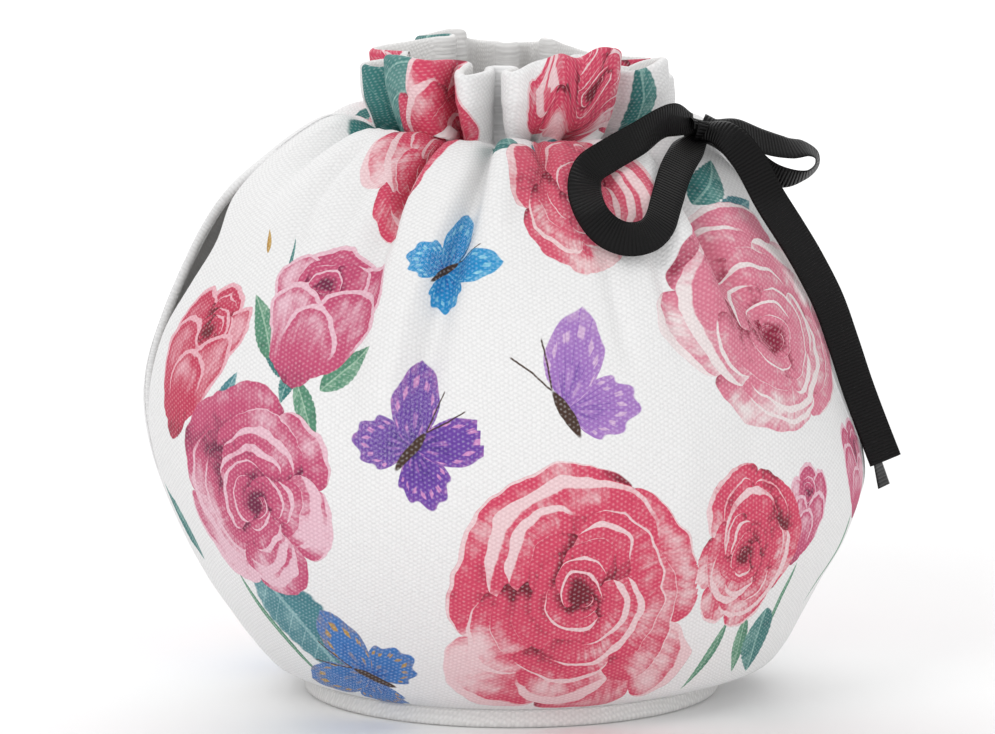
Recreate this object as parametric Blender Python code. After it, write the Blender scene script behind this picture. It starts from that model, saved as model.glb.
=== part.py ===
"""Tea cosy: two printed canvas panels sewn to a padded round base and drawn in at the neck.

The front and back panels rise from the base as a round bowl, part at both sides into an
opening, and are gathered into deep pleats by a black ribbon tied in a bow. Above the neck
the pleats flare into a frilled heading.

Angles are in degrees round the cosy's axis: 0 is the front (-Y), 90 is the right side
(+X), 180 the back and -90 the left side. +Z is up and the base stands on Z = 0.
"""

import math
from collections import namedtuple

import bmesh
import bpy
import numpy as np
from mathutils import Vector

MM = 0.001

# Faces that meet at more than this angle have a sharp edge between them.
SHARP_ANGLE = math.radians(60)

# Driving dimensions.
CLOTH_THICKNESS = 2.4 * MM
BASE_RADIUS = 63.5 * MM
BASE_THICKNESS = 5.0 * MM
BASE_EDGE_ROUNDING = 1.5 * MM
BASE_EDGE_STEPS = 3
BASE_SIDES = 72
RIBBON_WIDTH = 10.0 * MM
RIBBON_THICKNESS = 1.0 * MM
KNOT_SIZE = Vector((8.6, 8.6, 8.6)) * MM
KNOT_CENTRE = Vector((50.8, -37.6, 175.1)) * MM

# How finely the panels are divided, and how finely a length along the cloth is measured.
PANEL_COLUMNS = 62
PANEL_ROWS = 25
PATH_STEPS_PER_ROW = 20

# The panels stop this far, in degrees, short of the side seams.
SEAM_GAP_DEG = 0.25

# Cloth that is pulled aside at a side opening settles back within this many degrees.
PULL_REACH_DEG = 50.0

# A pleat is a soft wave at the foot of the fold and a round roll with tight valleys at
# the neck. The first value is how round the roll is, the second how narrow a valley is
# where the fold runs out into the body.
ROLL_AT_NECK = 0.68
VALLEY_NARROWING = 1.6

# Below the neck the pleats drift back to where the cloth lies in the body, and this far
# down a valley is as narrow as it gets.
DRIFT_REACH = 55.0 * MM
NARROW_VALLEY_BELOW = 40.0 * MM

# The crests puff out in a band below the neck, and above it the pleats of the heading
# take over within this many rows of the section table.
PUFF_BELOW = 10.0 * MM
PUFF_REACH = 14.0 * MM
HEADING_BLEND_ROWS = 1.5

# Each section is one level line round the cosy, from the hem to the heading's top edge.
# Heights and radii are those of the crests, in mm. fold_in and fold_drop are how far in
# and down the valleys lie there, in mm. The last four are how far the side openings pull
# the front and the back panel away from the seam, in degrees.
Section = namedtuple(
    "Section",
    "name height left front right back fold_in fold_drop "
    "left_front_gap left_back_gap right_front_gap right_back_gap",
)
SECTIONS = [
    Section("hem", 5.3, 62.0, 62.0, 62.0, 62.0, 0.0, 0.0, 0, 0, 0, 0),
    Section("foot", 9.0, 71.0, 70.0, 78.0, 71.0, 0.0, 0.0, 0, 0, 0, 0),
    Section("low side", 15.0, 77.0, 76.5, 84.0, 77.0, 0.0, 0.0, 0, 0, 0, 0),
    Section("flare", 24.0, 84.0, 84.0, 88.5, 83.5, 0.0, 0.0, 0, 0, 0, 0),
    Section("low belly", 36.0, 92.5, 91.0, 94.5, 90.5, 0.0, 0.0, 0, 0, 0.0, 0.0),
    Section("right parting", 50.0, 100.0, 97.0, 102.5, 96.5, 0.0, 0.0, 0, 0, 1.0, 1.5),
    Section("belly", 66.0, 106.5, 101.0, 107.0, 100.5, 0.0, 0.0, 0, 0, 7.0, 6.0),
    Section("left parting", 82.0, 110.5, 102.0, 104.0, 101.5, 0.0, 0.0, 0.0, 0.5, 6.5, 8.0),
    Section("high belly", 98.0, 111.0, 100.5, 99.0, 100.0, 1.0, 0.0, 2.5, 8.5, 5.5, 9.0),
    Section("high side", 114.0, 107.5, 97.0, 95.5, 96.5, 2.0, 0.0, 4.5, 14.0, 5.0, 9.0),
    Section("left parting top", 129.0, 101.5, 91.5, 91.0, 91.0, 4.5, 0.0, 9.0, 15.0, 5.0, 8.0),
    Section("low shoulder", 142.5, 94.0, 84.5, 84.5, 84.0, 7.5, 0.5, 10.5, 11.0, 4.5, 6.5),
    Section("shoulder", 154.5, 85.5, 76.5, 77.0, 75.5, 10.5, 1.5, 4.0, 4.0, 2.0, 2.5),
    Section("high shoulder", 164.5, 74.0, 67.5, 68.5, 66.0, 12.5, 3.0, 0, 0, 0, 0),
    Section("puff", 172.0, 62.0, 58.0, 61.0, 57.0, 14.0, 4.5, 0, 0, 0, 0),
    Section("puff top", 175.0, 52.5, 49.5, 55.0, 48.5, 14.5, 4.5, 0, 0, 0, 0),
    Section("neck", 172.0, 42.5, 40.0, 47.0, 39.5, 14.5, 1.0, 0, 0, 0, 0),
    Section("low heading", 177.5, 42.5, 42.0, 47.5, 41.0, 15.0, 0.0, 0, 0, 0, 0),
    Section("heading", 187.0, 45.0, 46.0, 49.5, 43.5, 17.0, 0.0, 0, 0, 0, 0),
    Section("top edge", 198.0, 46.0, 48.0, 49.0, 45.0, 19.0, 0.0, 0, 0, 0, 0),
]
NECK_ROW = [section.name for section in SECTIONS].index("neck")

# Each fold is one valley. It stands at neck_deg in the neck and heading and at body_deg
# in the body. pinch and heading are its share of the full depth below and above the neck,
# and reach is how far below the neck it dies out, in mm. The crest that follows it, the
# way the angles grow, stands puff mm higher below the neck and rise mm higher at the top.
Fold = namedtuple("Fold", "name neck_deg body_deg pinch heading reach puff rise")
FRONT_FOLDS = [
    Fold("left side", -77, -66, 0.75, 0.70, 34, 1.0, 0.5),
    Fold("beside notch", -37, -39, 0.95, 0.80, 48, -0.5, -1.0),
    Fold("notch", -16, -25, 1.10, 1.10, 88, -0.5, 0.0),
    Fold("centre", 1, -3, 0.55, 0.16, 34, -1.0, 1.5),
    Fold("flat", 17, 13, 0.60, 0.12, 40, -1.0, 3.0),
    Fold("right front", 40, 36, 1.00, 0.85, 66, 0.0, 0.5),
    Fold("right side", 73, 66, 1.05, 0.80, 38, 0.5, 0.0),
]
BACK_FOLDS = [
    Fold("back right side", 104, 108, 0.85, 0.80, 34, 0.5, -2.0),
    Fold("back right", 127, 130, 1.00, 0.95, 52, 1.0, -3.0),
    Fold("back centre right", 152, 151, 0.80, 0.60, 36, 0.5, -3.5),
    Fold("back centre", 174, 175, 1.05, 1.00, 60, 0.0, -2.5),
    Fold("back centre left", 199, 197, 0.70, 0.50, 38, 1.5, -3.5),
    Fold("back left", 221, 222, 1.05, 0.95, 50, 2.5, -2.0),
    Fold("back left side", 246, 248, 0.80, 0.75, 34, 2.0, -1.0),
]
# The crests on the side seams, as puff and rise above.
SIDE_CREST = {"left": (2.0, -0.5), "right": (0.0, -1.0)}

# The ribbon leaves the knot drawn in to this share of its width, and is at full width
# this far from the knot's centre. It has this many steps between two points of a route.
RIBBON_GATHER = 0.6
RIBBON_GATHER_REACH = 14.0 * MM
RIBBON_STEPS = 4

# Each ribbon route is a list of points on the ribbon's middle line, in mm, with the
# direction across the ribbon there, which need not be of any length.
RibbonPoint = namedtuple("RibbonPoint", "x y z across_x across_y across_z")
LEFT_LOOP = [
    RibbonPoint(49.5, -38.0, 177.3, -0.8, 1.2, 2.5),
    RibbonPoint(39.0, -48.0, 179.5, 1.0, 0.6, 5.0),
    RibbonPoint(28.0, -58.5, 175.5, -0.4, 1.2, 5.0),
    RibbonPoint(18.5, -64.0, 171.5, -0.8, 1.4, 4.8),
    RibbonPoint(12.0, -68.0, 168.0, -2.4, 2.0, 3.8),
    RibbonPoint(9.5, -74.5, 163.0, -3.4, 2.6, 1.2),
    RibbonPoint(10.5, -81.0, 157.0, -3.8, 1.9, -1.8),
    RibbonPoint(14.5, -84.0, 152.0, -2.5, 0.4, -3.6),
    RibbonPoint(20.5, -84.5, 149.5, -0.3, -0.4, -4.4),
    RibbonPoint(27.0, -82.0, 150.0, 2.0, -0.8, -3.8),
    RibbonPoint(31.5, -77.0, 153.0, 3.6, -0.3, -2.4),
    RibbonPoint(35.0, -69.0, 158.5, 4.4, 0.0, -2.0),
    RibbonPoint(39.5, -58.5, 165.5, 4.6, -0.6, -2.0),
    RibbonPoint(45.0, -48.0, 170.5, 4.4, -1.0, -1.8),
    RibbonPoint(50.0, -39.0, 173.2, 2.8, -1.2, -0.8),
]
RIGHT_LOOP = [
    RibbonPoint(51.5, -36.5, 177.3, 0.2, 1.6, 2.5),
    RibbonPoint(56.0, -37.5, 175.5, 0.0, 3.4, 3.6),
    RibbonPoint(63.5, -35.5, 174.0, 0.0, 3.6, 3.6),
    RibbonPoint(71.5, -32.5, 170.5, 0.2, 3.5, 3.3),
    RibbonPoint(79.0, -30.5, 168.5, 0.6, 4.2, 2.6),
    RibbonPoint(84.5, -29.0, 168.0, 0.6, 4.6, 1.6),
    RibbonPoint(88.0, -28.5, 165.8, 1.4, 4.7, 0.4),
    RibbonPoint(88.0, -28.5, 162.4, 1.5, 4.6, -0.8),
    RibbonPoint(84.5, -28.5, 159.6, 0.9, 4.4, -2.0),
    RibbonPoint(78.5, -29.0, 159.0, 0.0, 3.6, -3.4),
    RibbonPoint(70.5, -29.5, 162.0, -1.5, 2.8, -3.8),
    RibbonPoint(61.0, -33.0, 170.8, -2.0, 2.2, -3.0),
    RibbonPoint(51.5, -37.0, 174.0, -1.0, 1.4, -1.8),
]
FRONT_TAIL = [
    RibbonPoint(51.0, -38.5, 175.0, 1.8, 0.4, 3.1),
    RibbonPoint(57.0, -45.5, 174.5, 3.3, 1.0, 3.6),
    RibbonPoint(63.0, -50.5, 167.5, 4.5, 0.5, 2.8),
    RibbonPoint(69.0, -53.5, 156.0, 4.7, 0.2, 1.6),
    RibbonPoint(76.0, -50.5, 145.5, 4.7, 0.4, 2.0),
    RibbonPoint(82.5, -46.0, 135.5, 4.6, 0.4, 2.0),
    RibbonPoint(89.5, -41.0, 123.0, 4.6, 0.4, 1.8),
    RibbonPoint(95.0, -37.0, 109.5, 4.7, 0.4, 1.6),
    RibbonPoint(100.0, -34.0, 96.0, 4.7, 0.2, 1.7),
    RibbonPoint(105.0, -32.0, 83.5, 4.7, -0.1, 1.9),
    RibbonPoint(109.5, -31.0, 72.5, 4.6, -0.4, 2.1),
]
BACK_TAIL = [
    RibbonPoint(51.5, -36.0, 175.0, -1.0, 2.6, 0.2),
    RibbonPoint(62.5, -31.0, 171.5, -0.6, 4.8, 0.8),
    RibbonPoint(73.0, -25.5, 160.5, -0.4, 4.8, 1.0),
    RibbonPoint(81.5, -19.5, 148.5, 0.0, 4.9, 0.6),
    RibbonPoint(89.0, -17.0, 138.0, 0.4, 4.9, 0.2),
    RibbonPoint(94.5, -16.0, 127.0, 0.8, 4.9, 0.0),
    RibbonPoint(98.0, -16.5, 115.0, 0.9, 4.9, -0.2),
    RibbonPoint(101.0, -17.0, 102.5, 0.8, 4.9, -0.4),
    RibbonPoint(104.0, -18.5, 90.0, 1.1, 4.9, -0.5),
    RibbonPoint(107.5, -20.0, 77.0, 1.7, 4.5, -0.4),
    RibbonPoint(111.0, -22.0, 63.0, 2.6, 4.0, 0.0),
]


def clear_scene():
    """Remove every object that the scene starts with."""
    for obj in list(bpy.data.objects):
        bpy.data.objects.remove(obj, do_unlink=True)


def make_material(name, colour, roughness):
    """Return a Principled material of one colour for cloth."""
    material = bpy.data.materials.new(name)
    material.use_nodes = True
    shader = material.node_tree.nodes["Principled BSDF"]
    shader.inputs["Base Color"].default_value = (*colour, 1.0)
    shader.inputs["Roughness"].default_value = roughness
    shader.inputs["Metallic"].default_value = 0.0
    material.diffuse_color = (*colour, 1.0)
    return material


def add_object(name, mesh, material):
    """Link a mesh to the scene as a named object with one material."""
    obj = bpy.data.objects.new(name, mesh)
    obj.data.materials.append(material)
    bpy.context.scene.collection.objects.link(obj)
    return obj


def smooth_step(x):
    """Return 0 below 0, 1 above 1 and a soft step between."""
    x = np.clip(x, 0.0, 1.0)
    return x * x * (3.0 - 2.0 * x)


def curve_through(values, at):
    """Read a Catmull-Rom curve through evenly spaced values at the given positions."""
    values = np.asarray(values, float)
    padded = np.concatenate([[2 * values[0] - values[1]], values, [2 * values[-1] - values[-2]]])
    start = np.clip(np.floor(at).astype(int), 0, len(values) - 2)
    t = at - start
    before, here, there, after = (padded[start + shift] for shift in range(4))
    bend = 2 * before - 5 * here + 4 * there - after
    twist = 3 * (here - there) + after - before
    return here + 0.5 * t * (there - before + t * (bend + t * twist))


def section_column(column, rows):
    """Return one column of SECTIONS, read at fractional section numbers."""
    return curve_through([getattr(section, column) for section in SECTIONS], rows)


def crest_radius(rows, degrees):
    """Return the radius of the crests in mm at these rows and angles."""
    angle = np.radians(degrees)
    to_front = np.cos(angle)
    to_right = np.sin(angle)
    front_back = np.where(to_front > 0, section_column("front", rows), section_column("back", rows))
    right_left = np.where(to_right > 0, section_column("right", rows), section_column("left", rows))
    return front_back * to_front**2 + right_left * to_right**2


def below_neck(rows):
    """Return how far below the neck each row lies along the front crest, or 0 above it."""
    steps = np.linspace(0.0, NECK_ROW, PATH_STEPS_PER_ROW * NECK_ROW + 1)
    path = np.stack([section_column("front", steps), section_column("height", steps)]) * MM
    lengths = np.linalg.norm(np.diff(path, axis=1), axis=0)
    along = np.concatenate([[0.0], np.cumsum(lengths)])
    return along[-1] - np.interp(np.minimum(rows, NECK_ROW), steps, along)


class Pleats:
    """Where the folds of one panel stand, and how deep they are.

    The cloth is measured in degrees of the body, from one side seam to the other. Between
    two valleys the position runs from 0 to 1. A side seam is a crest, at one half.
    """

    def __init__(self, folds, start_deg, end_deg, first_crest, last_crest):
        self.folds = folds
        body = [start_deg] + [fold.body_deg for fold in folds] + [end_deg]
        neck = [start_deg] + [fold.neck_deg for fold in folds] + [end_deg]
        self.body = np.array(body, float)
        self.neck = np.array(neck, float)
        crests = [first_crest] + [(fold.puff, fold.rise) for fold in folds[:-1]] + [last_crest]
        self.crests = np.array(crests, float)

    def place(self, cloth):
        """Return the span number of each cloth position and the position within it."""
        span = np.clip(np.searchsorted(self.body, cloth, side="right") - 1, 0, len(self.folds))
        width = self.body[span + 1] - self.body[span]
        share = (cloth - self.body[span]) / width
        position = np.where(span == 0, 0.5 + 0.5 * share, share)
        position = np.where(span == len(self.folds), 0.5 * share, position)
        return span, position

    def degrees(self, cloth, rows):
        """Return the angle at which each bit of cloth stands."""
        span, position = self.place(cloth)
        roll = position - ROLL_AT_NECK * np.sin(2 * np.pi * position) / (2 * np.pi)
        half_span = (span == 0) | (span == len(self.folds))
        start = np.where(span == 0, 0.5, 0.0)
        share = np.where(half_span, 2.0 * (roll - start), roll)
        in_neck = self.neck[span] + share * (self.neck[span + 1] - self.neck[span])
        pull = np.exp(-((below_neck(rows) / DRIFT_REACH) ** 2))
        return cloth + pull * (in_neck - cloth)

    def depth(self, cloth, rows):
        """Return how far into its valley each bit of cloth is, from 0 to about 1."""
        span, position = self.place(cloth)
        wave = 0.5 + 0.5 * np.cos(2 * np.pi * position)
        depth_below = below_neck(rows)
        above = smooth_step((rows - NECK_ROW) / HEADING_BLEND_ROWS)
        body = smooth_step(depth_below / NARROW_VALLEY_BELOW)
        wave = wave ** (1.0 + VALLEY_NARROWING * body)
        total = np.zeros(np.broadcast(cloth, rows).shape)
        for number, fold in enumerate(self.folds):
            left_side = (span == number) & (position >= 0.5)
            right_side = (span == number + 1) & (position < 0.5)
            fade = np.exp(-((depth_below / (fold.reach * MM)) ** 2))
            strength = fold.pinch * fade * (1.0 - above) + fold.heading * above
            total = total + np.where(left_side | right_side, wave * strength, 0.0)
        return total

    def lift(self, cloth, rows):
        """Return how much higher than the section each crest stands, in mm."""
        span, position = self.place(cloth)
        crest = np.sin(np.pi * position) ** 2
        puff = np.exp(-(((below_neck(rows) - PUFF_BELOW) / PUFF_REACH) ** 2)) * (rows < NECK_ROW)
        top = smooth_step((rows - NECK_ROW) / (len(SECTIONS) - 1 - NECK_ROW))
        return crest * (self.crests[span, 0] * puff + self.crests[span, 1] * top)


def panel_points(pleats, sides, start_deg, end_deg):
    """Return the grid of points of a panel's outer face, rows by columns, in metres.

    sides names the gap columns of SECTIONS at the panel's start and end.
    """
    cloth = np.linspace(start_deg, end_deg, PANEL_COLUMNS + 1)[None, :]
    rows = np.linspace(0.0, len(SECTIONS) - 1, PANEL_ROWS + 1)[:, None]
    at_start = 1.0 - smooth_step((cloth - start_deg) / PULL_REACH_DEG)
    at_end = 1.0 - smooth_step((end_deg - cloth) / PULL_REACH_DEG)
    degrees = pleats.degrees(cloth, rows)
    degrees = degrees + at_start * np.maximum(section_column(sides[0], rows), 0.0)
    degrees = degrees - at_end * np.maximum(section_column(sides[1], rows), 0.0)
    depth = pleats.depth(cloth, rows)
    # The depth fades with each fold's own reach, so the full depth is that of the neck.
    full_depth = section_column("fold_in", np.maximum(rows, NECK_ROW))
    radius = crest_radius(rows, degrees) - full_depth * depth
    height = section_column("height", rows) + pleats.lift(cloth, rows)
    height = height - section_column("fold_drop", rows) * depth
    angle = np.radians(degrees)
    return np.stack([radius * np.sin(angle), -radius * np.cos(angle), height], axis=-1) * MM


def inner_points(outer):
    """Return the grid of points of a panel's inner face, one cloth thickness inside the outer one.

    Along the two side edges it stays in the plane of the edge, so that the panels stay apart.
    """
    across = np.gradient(outer, axis=1)
    along = np.gradient(outer, axis=0)
    normal = np.cross(across, along)
    normal /= np.linalg.norm(normal, axis=-1, keepdims=True)
    for column in (0, -1):
        edge_angle = np.arctan2(outer[:, column, 0], -outer[:, column, 1])
        sideways = np.stack([np.cos(edge_angle), np.sin(edge_angle), 0 * edge_angle], axis=-1)
        flat = normal[:, column] - sideways * np.sum(normal[:, column] * sideways, axis=-1)[:, None]
        normal[:, column] = flat / np.linalg.norm(flat, axis=-1, keepdims=True)
    return outer - CLOTH_THICKNESS * normal


def sheet_mesh(name, outer, inner):
    """Return a closed mesh between two grids of points, with a rim of faces round its four edges."""
    rows, columns = outer.shape[:2]
    count = rows * columns
    index = np.arange(count).reshape(rows, columns)
    cells = np.stack([index[:-1, :-1], index[:-1, 1:], index[1:, 1:], index[1:, :-1]], axis=-1)
    cells = cells.reshape(-1, 4)
    border = np.concatenate([index[0, :-1], index[:-1, -1], index[-1, :0:-1], index[:0:-1, 0]])
    following = np.roll(border, -1)
    rim = np.stack([border, border + count, following + count, following], axis=-1)
    faces = np.concatenate([cells, cells[:, ::-1] + count, rim])
    mesh = bpy.data.meshes.new(name)
    mesh.from_pydata(np.concatenate([outer, inner]).reshape(-1, 3).tolist(), [], faces.tolist())
    mesh.shade_smooth()
    mesh.set_sharp_from_angle(angle=SHARP_ANGLE)
    return mesh


def build_panel(name, folds, start_deg, end_deg, crests, sides, material):
    """Build one panel with its half of the heading, thickened inwards."""
    start = start_deg + SEAM_GAP_DEG
    end = end_deg - SEAM_GAP_DEG
    pleats = Pleats(folds, start, end, *crests)
    outer = panel_points(pleats, sides, start, end)
    return add_object(name, sheet_mesh(name, outer, inner_points(outer)), material)


def build_base(material):
    """Build the padded round base with its soft edge."""
    mesh = bpy.data.meshes.new("base")
    shape = bmesh.new()
    bmesh.ops.create_cone(
        shape,
        cap_ends=True,
        segments=BASE_SIDES,
        radius1=BASE_RADIUS,
        radius2=BASE_RADIUS,
        depth=BASE_THICKNESS,
    )
    bmesh.ops.translate(shape, verts=shape.verts, vec=(0.0, 0.0, BASE_THICKNESS / 2))
    shape.to_mesh(mesh)
    shape.free()
    base = add_object("base", mesh, material)
    edge = base.modifiers.new("soft edge", "BEVEL")
    edge.width = BASE_EDGE_ROUNDING
    edge.segments = BASE_EDGE_STEPS
    edge.limit_method = "ANGLE"
    edge.angle_limit = SHARP_ANGLE
    mesh.shade_smooth()
    mesh.set_sharp_from_angle(angle=SHARP_ANGLE)
    return base


def strip_mesh(name, route):
    """Return a ribbon with square ends that follows a route, drawn in near the knot."""
    steps = np.linspace(0.0, len(route) - 1, RIBBON_STEPS * (len(route) - 1) + 1)
    columns = [curve_through([point[axis] for point in route], steps) for axis in range(6)]
    middle = np.stack(columns[:3], axis=-1) * MM
    across = np.stack(columns[3:], axis=-1)
    along = np.gradient(middle, axis=0)
    facing = np.cross(along, across)
    facing /= np.linalg.norm(facing, axis=1, keepdims=True)
    across = np.cross(facing, along)
    across /= np.linalg.norm(across, axis=1, keepdims=True)
    from_knot = np.linalg.norm(middle - np.array(KNOT_CENTRE), axis=1)
    share = RIBBON_GATHER + (1.0 - RIBBON_GATHER) * smooth_step(from_knot / RIBBON_GATHER_REACH)
    side = across * (share * RIBBON_WIDTH / 2)[:, None]
    skin = facing * RIBBON_THICKNESS / 2
    rings = [middle - side - skin, middle + side - skin, middle + side + skin, middle - side + skin]
    points = np.stack(rings, axis=1).reshape(-1, 3)
    last = len(points) - 4
    faces = [(3, 2, 1, 0), (last, last + 1, last + 2, last + 3)]
    for start in range(0, last, 4):
        for corner in range(4):
            here = start + corner
            there = start + (corner + 1) % 4
            faces.append((here, there, there + 4, here + 4))
    mesh = bpy.data.meshes.new(name)
    mesh.from_pydata(points.tolist(), [], faces)
    return mesh


def build_ribbon(material):
    """Build the bow: the knot, with its two loops and two tails joined to it as one ribbon."""
    mesh = bpy.data.meshes.new("ribbon_bow")
    shape = bmesh.new()
    bmesh.ops.create_icosphere(shape, subdivisions=2, radius=0.5)
    bmesh.ops.scale(shape, verts=shape.verts, vec=KNOT_SIZE)
    bmesh.ops.translate(shape, verts=shape.verts, vec=KNOT_CENTRE)
    shape.to_mesh(mesh)
    shape.free()
    bow = add_object("ribbon_bow", mesh, material)
    routes = {
        "left loop": LEFT_LOOP,
        "right loop": RIGHT_LOOP,
        "front tail": FRONT_TAIL,
        "back tail": BACK_TAIL,
    }
    for name, route in routes.items():
        strip = add_object(name, strip_mesh(name, route), material)
        strip.hide_render = True
        strip.display_type = "WIRE"
        join = bow.modifiers.new(name, "BOOLEAN")
        join.operation = "UNION"
        join.use_self = True
        join.object = strip
    return bow


def main():
    """Build the cosy from its base up."""
    clear_scene()
    canvas = make_material("printed_canvas", (0.86, 0.80, 0.80), 0.85)
    base_cloth = make_material("base_cloth", (0.88, 0.87, 0.85), 0.9)
    ribbon = make_material("ribbon", (0.012, 0.011, 0.012), 0.6)
    left = SIDE_CREST["left"]
    right = SIDE_CREST["right"]
    front_sides = ("left_front_gap", "right_front_gap")
    back_sides = ("right_back_gap", "left_back_gap")
    build_panel("front_panel", FRONT_FOLDS, -90, 90, (left, right), front_sides, canvas)
    build_panel("back_panel", BACK_FOLDS, 90, 270, (right, left), back_sides, canvas)
    build_base(base_cloth)
    build_ribbon(ribbon)


main()
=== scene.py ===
"""The looks of a tea cosy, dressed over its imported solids.

Two panels of printed canvas are sewn to a padded round base and drawn in at the neck by a
black ribbon, tied in a bow. The print is drawn by the canvas's own shader nodes. They read
where each motif lies on the cloth from attributes that the panels carry.

Angles are in degrees round the cosy's axis: 0 is the front (-Y), 90 the right side (+X),
180 the back and -90 the left side. Lengths are in metres, unless a name ends in _mm.
"""

import logging
import math
from collections.abc import Callable
from dataclasses import dataclass
from enum import Enum
from typing import Any, NamedTuple

import bmesh
import bpy
import numpy as np
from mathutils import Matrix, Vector


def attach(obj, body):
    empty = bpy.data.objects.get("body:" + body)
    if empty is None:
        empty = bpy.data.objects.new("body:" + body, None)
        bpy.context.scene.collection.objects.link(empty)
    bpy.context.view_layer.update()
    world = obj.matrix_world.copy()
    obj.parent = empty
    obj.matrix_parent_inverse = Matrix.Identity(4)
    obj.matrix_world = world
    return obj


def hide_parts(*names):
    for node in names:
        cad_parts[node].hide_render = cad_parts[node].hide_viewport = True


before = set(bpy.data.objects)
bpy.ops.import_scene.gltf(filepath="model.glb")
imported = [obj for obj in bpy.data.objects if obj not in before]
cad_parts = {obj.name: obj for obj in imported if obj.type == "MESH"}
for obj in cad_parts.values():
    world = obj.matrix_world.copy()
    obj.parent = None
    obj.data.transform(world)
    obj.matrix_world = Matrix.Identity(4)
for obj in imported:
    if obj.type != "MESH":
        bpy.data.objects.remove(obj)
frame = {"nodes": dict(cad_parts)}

MM = 0.001

# A motif's own coordinate where none of that kind is printed
FAR_OFF = 9.0

log = logging.getLogger("cosy")

Grid = np.ndarray
Colour = tuple[float, float, float]

BLACK = (0.0, 0.0, 0.0)
WHITE = (1.0, 1.0, 1.0)


# Shapes that the panels share


class Section(NamedTuple):
    """One level line round the cosy. Lengths are in mm, gaps in degrees."""

    name: str
    height: float
    left: float
    front: float
    right: float
    back: float
    fold_in: float = 0.0
    fold_drop: float = 0.0
    left_front_gap: float = 0.0
    left_back_gap: float = 0.0
    right_front_gap: float = 0.0
    right_back_gap: float = 0.0


SECTIONS = [
    Section("hem", 5.3, 62.0, 62.0, 62.0, 62.0),
    Section("foot", 9.0, 71.0, 70.0, 78.0, 71.0),
    Section("low side", 15.0, 77.0, 76.5, 84.0, 77.0),
    Section("flare", 24.0, 84.0, 84.0, 88.5, 83.5),
    Section("low belly", 36.0, 92.5, 91.0, 94.5, 90.5),
    Section("right parting", 50.0, 100.0, 97.0, 102.5, 96.5, 0.0, 0.0, 0.0, 0.0, 1.0, 1.5),
    Section("belly", 66.0, 106.5, 101.0, 107.0, 100.5, 0.0, 0.0, 0.0, 0.0, 7.0, 6.0),
    Section("left parting", 82.0, 110.5, 102.0, 104.0, 101.5, 0.0, 0.0, 0.0, 0.5, 6.5, 8.0),
    Section("high belly", 98.0, 111.0, 100.5, 99.0, 100.0, 1.0, 0.0, 2.5, 8.5, 5.5, 9.0),
    Section("high side", 114.0, 107.5, 97.0, 95.5, 96.5, 2.0, 0.0, 4.5, 14.0, 5.0, 9.0),
    Section("left parting top", 129.0, 101.5, 91.5, 91.0, 91.0, 4.5, 0.0, 9.0, 15.0, 5.0, 8.0),
    Section("low shoulder", 142.5, 94.0, 84.5, 84.5, 84.0, 7.5, 0.5, 10.5, 11.0, 4.5, 6.5),
    Section("shoulder", 154.5, 85.5, 76.5, 77.0, 75.5, 10.5, 1.5, 4.0, 4.0, 2.0, 2.5),
    Section("high shoulder", 164.5, 74.0, 67.5, 68.5, 66.0, 12.5, 3.0),
    Section("puff", 172.0, 62.0, 58.0, 61.0, 57.0, 14.0, 4.5),
    Section("puff top", 175.0, 52.5, 49.5, 55.0, 48.5, 14.5, 4.5),
    Section("neck", 172.0, 42.5, 40.0, 47.0, 39.5, 14.5, 1.0),
    Section("low heading", 177.5, 42.5, 42.0, 47.5, 41.0, 15.0, 0.0),
    Section("heading", 187.0, 45.0, 46.0, 49.5, 43.5, 17.0, 0.0),
    Section("top edge", 198.0, 46.0, 48.0, 49.0, 45.0, 19.0, 0.0),
]
NECK_ROW = [section.name for section in SECTIONS].index("neck")
TOP_ROW = len(SECTIONS) - 1
STEPS_PER_SECTION = 20


class Fold(NamedTuple):
    """One valley, and the crest that follows it. Lengths are in mm, angles in degrees."""

    name: str
    neck_deg: float
    body_deg: float
    pinch: float
    heading: float
    reach: float
    puff: float
    rise: float


FRONT_FOLDS = [
    Fold("left side", -77, -66, 0.75, 0.42, 34, 1.0, 0.5),
    Fold("beside notch", -37, -37, 1.10, 0.80, 66, -0.5, -1.0),
    Fold("notch", -16, -25, 0.78, 1.10, 84, -0.5, 0.0),
    Fold("centre", 1, -3, 0.55, 0.06, 34, -1.0, 1.5),
    Fold("flat", 17, 13, 0.60, 0.04, 40, -1.0, 3.0),
    Fold("right front", 40, 36, 1.00, 0.70, 66, 0.0, 0.5),
    Fold("right side", 73, 66, 1.05, 0.60, 38, 0.5, 0.0),
]
BACK_FOLDS = [
    Fold("back right side", 104, 108, 0.85, 0.80, 34, 0.5, -2.0),
    Fold("back right", 127, 130, 1.00, 0.95, 52, 1.0, -3.0),
    Fold("back centre right", 152, 151, 0.80, 0.60, 36, 0.5, -3.5),
    Fold("back centre", 174, 175, 1.05, 1.00, 60, 0.0, -2.5),
    Fold("back centre left", 199, 197, 0.70, 0.50, 38, 1.5, -3.5),
    Fold("back left", 221, 222, 1.05, 0.95, 50, 2.5, -2.0),
    Fold("back left side", 246, 248, 0.80, 0.75, 34, 2.0, -1.0),
]
LEFT_CREST = (2.0, -0.5)
RIGHT_CREST = (0.0, -1.0)


def smooth_step(x: Grid) -> Grid:
    """Return 0 below 0, 1 above 1 and a soft step between."""
    x = np.clip(x, 0.0, 1.0)
    return x * x * (3.0 - 2.0 * x)


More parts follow.
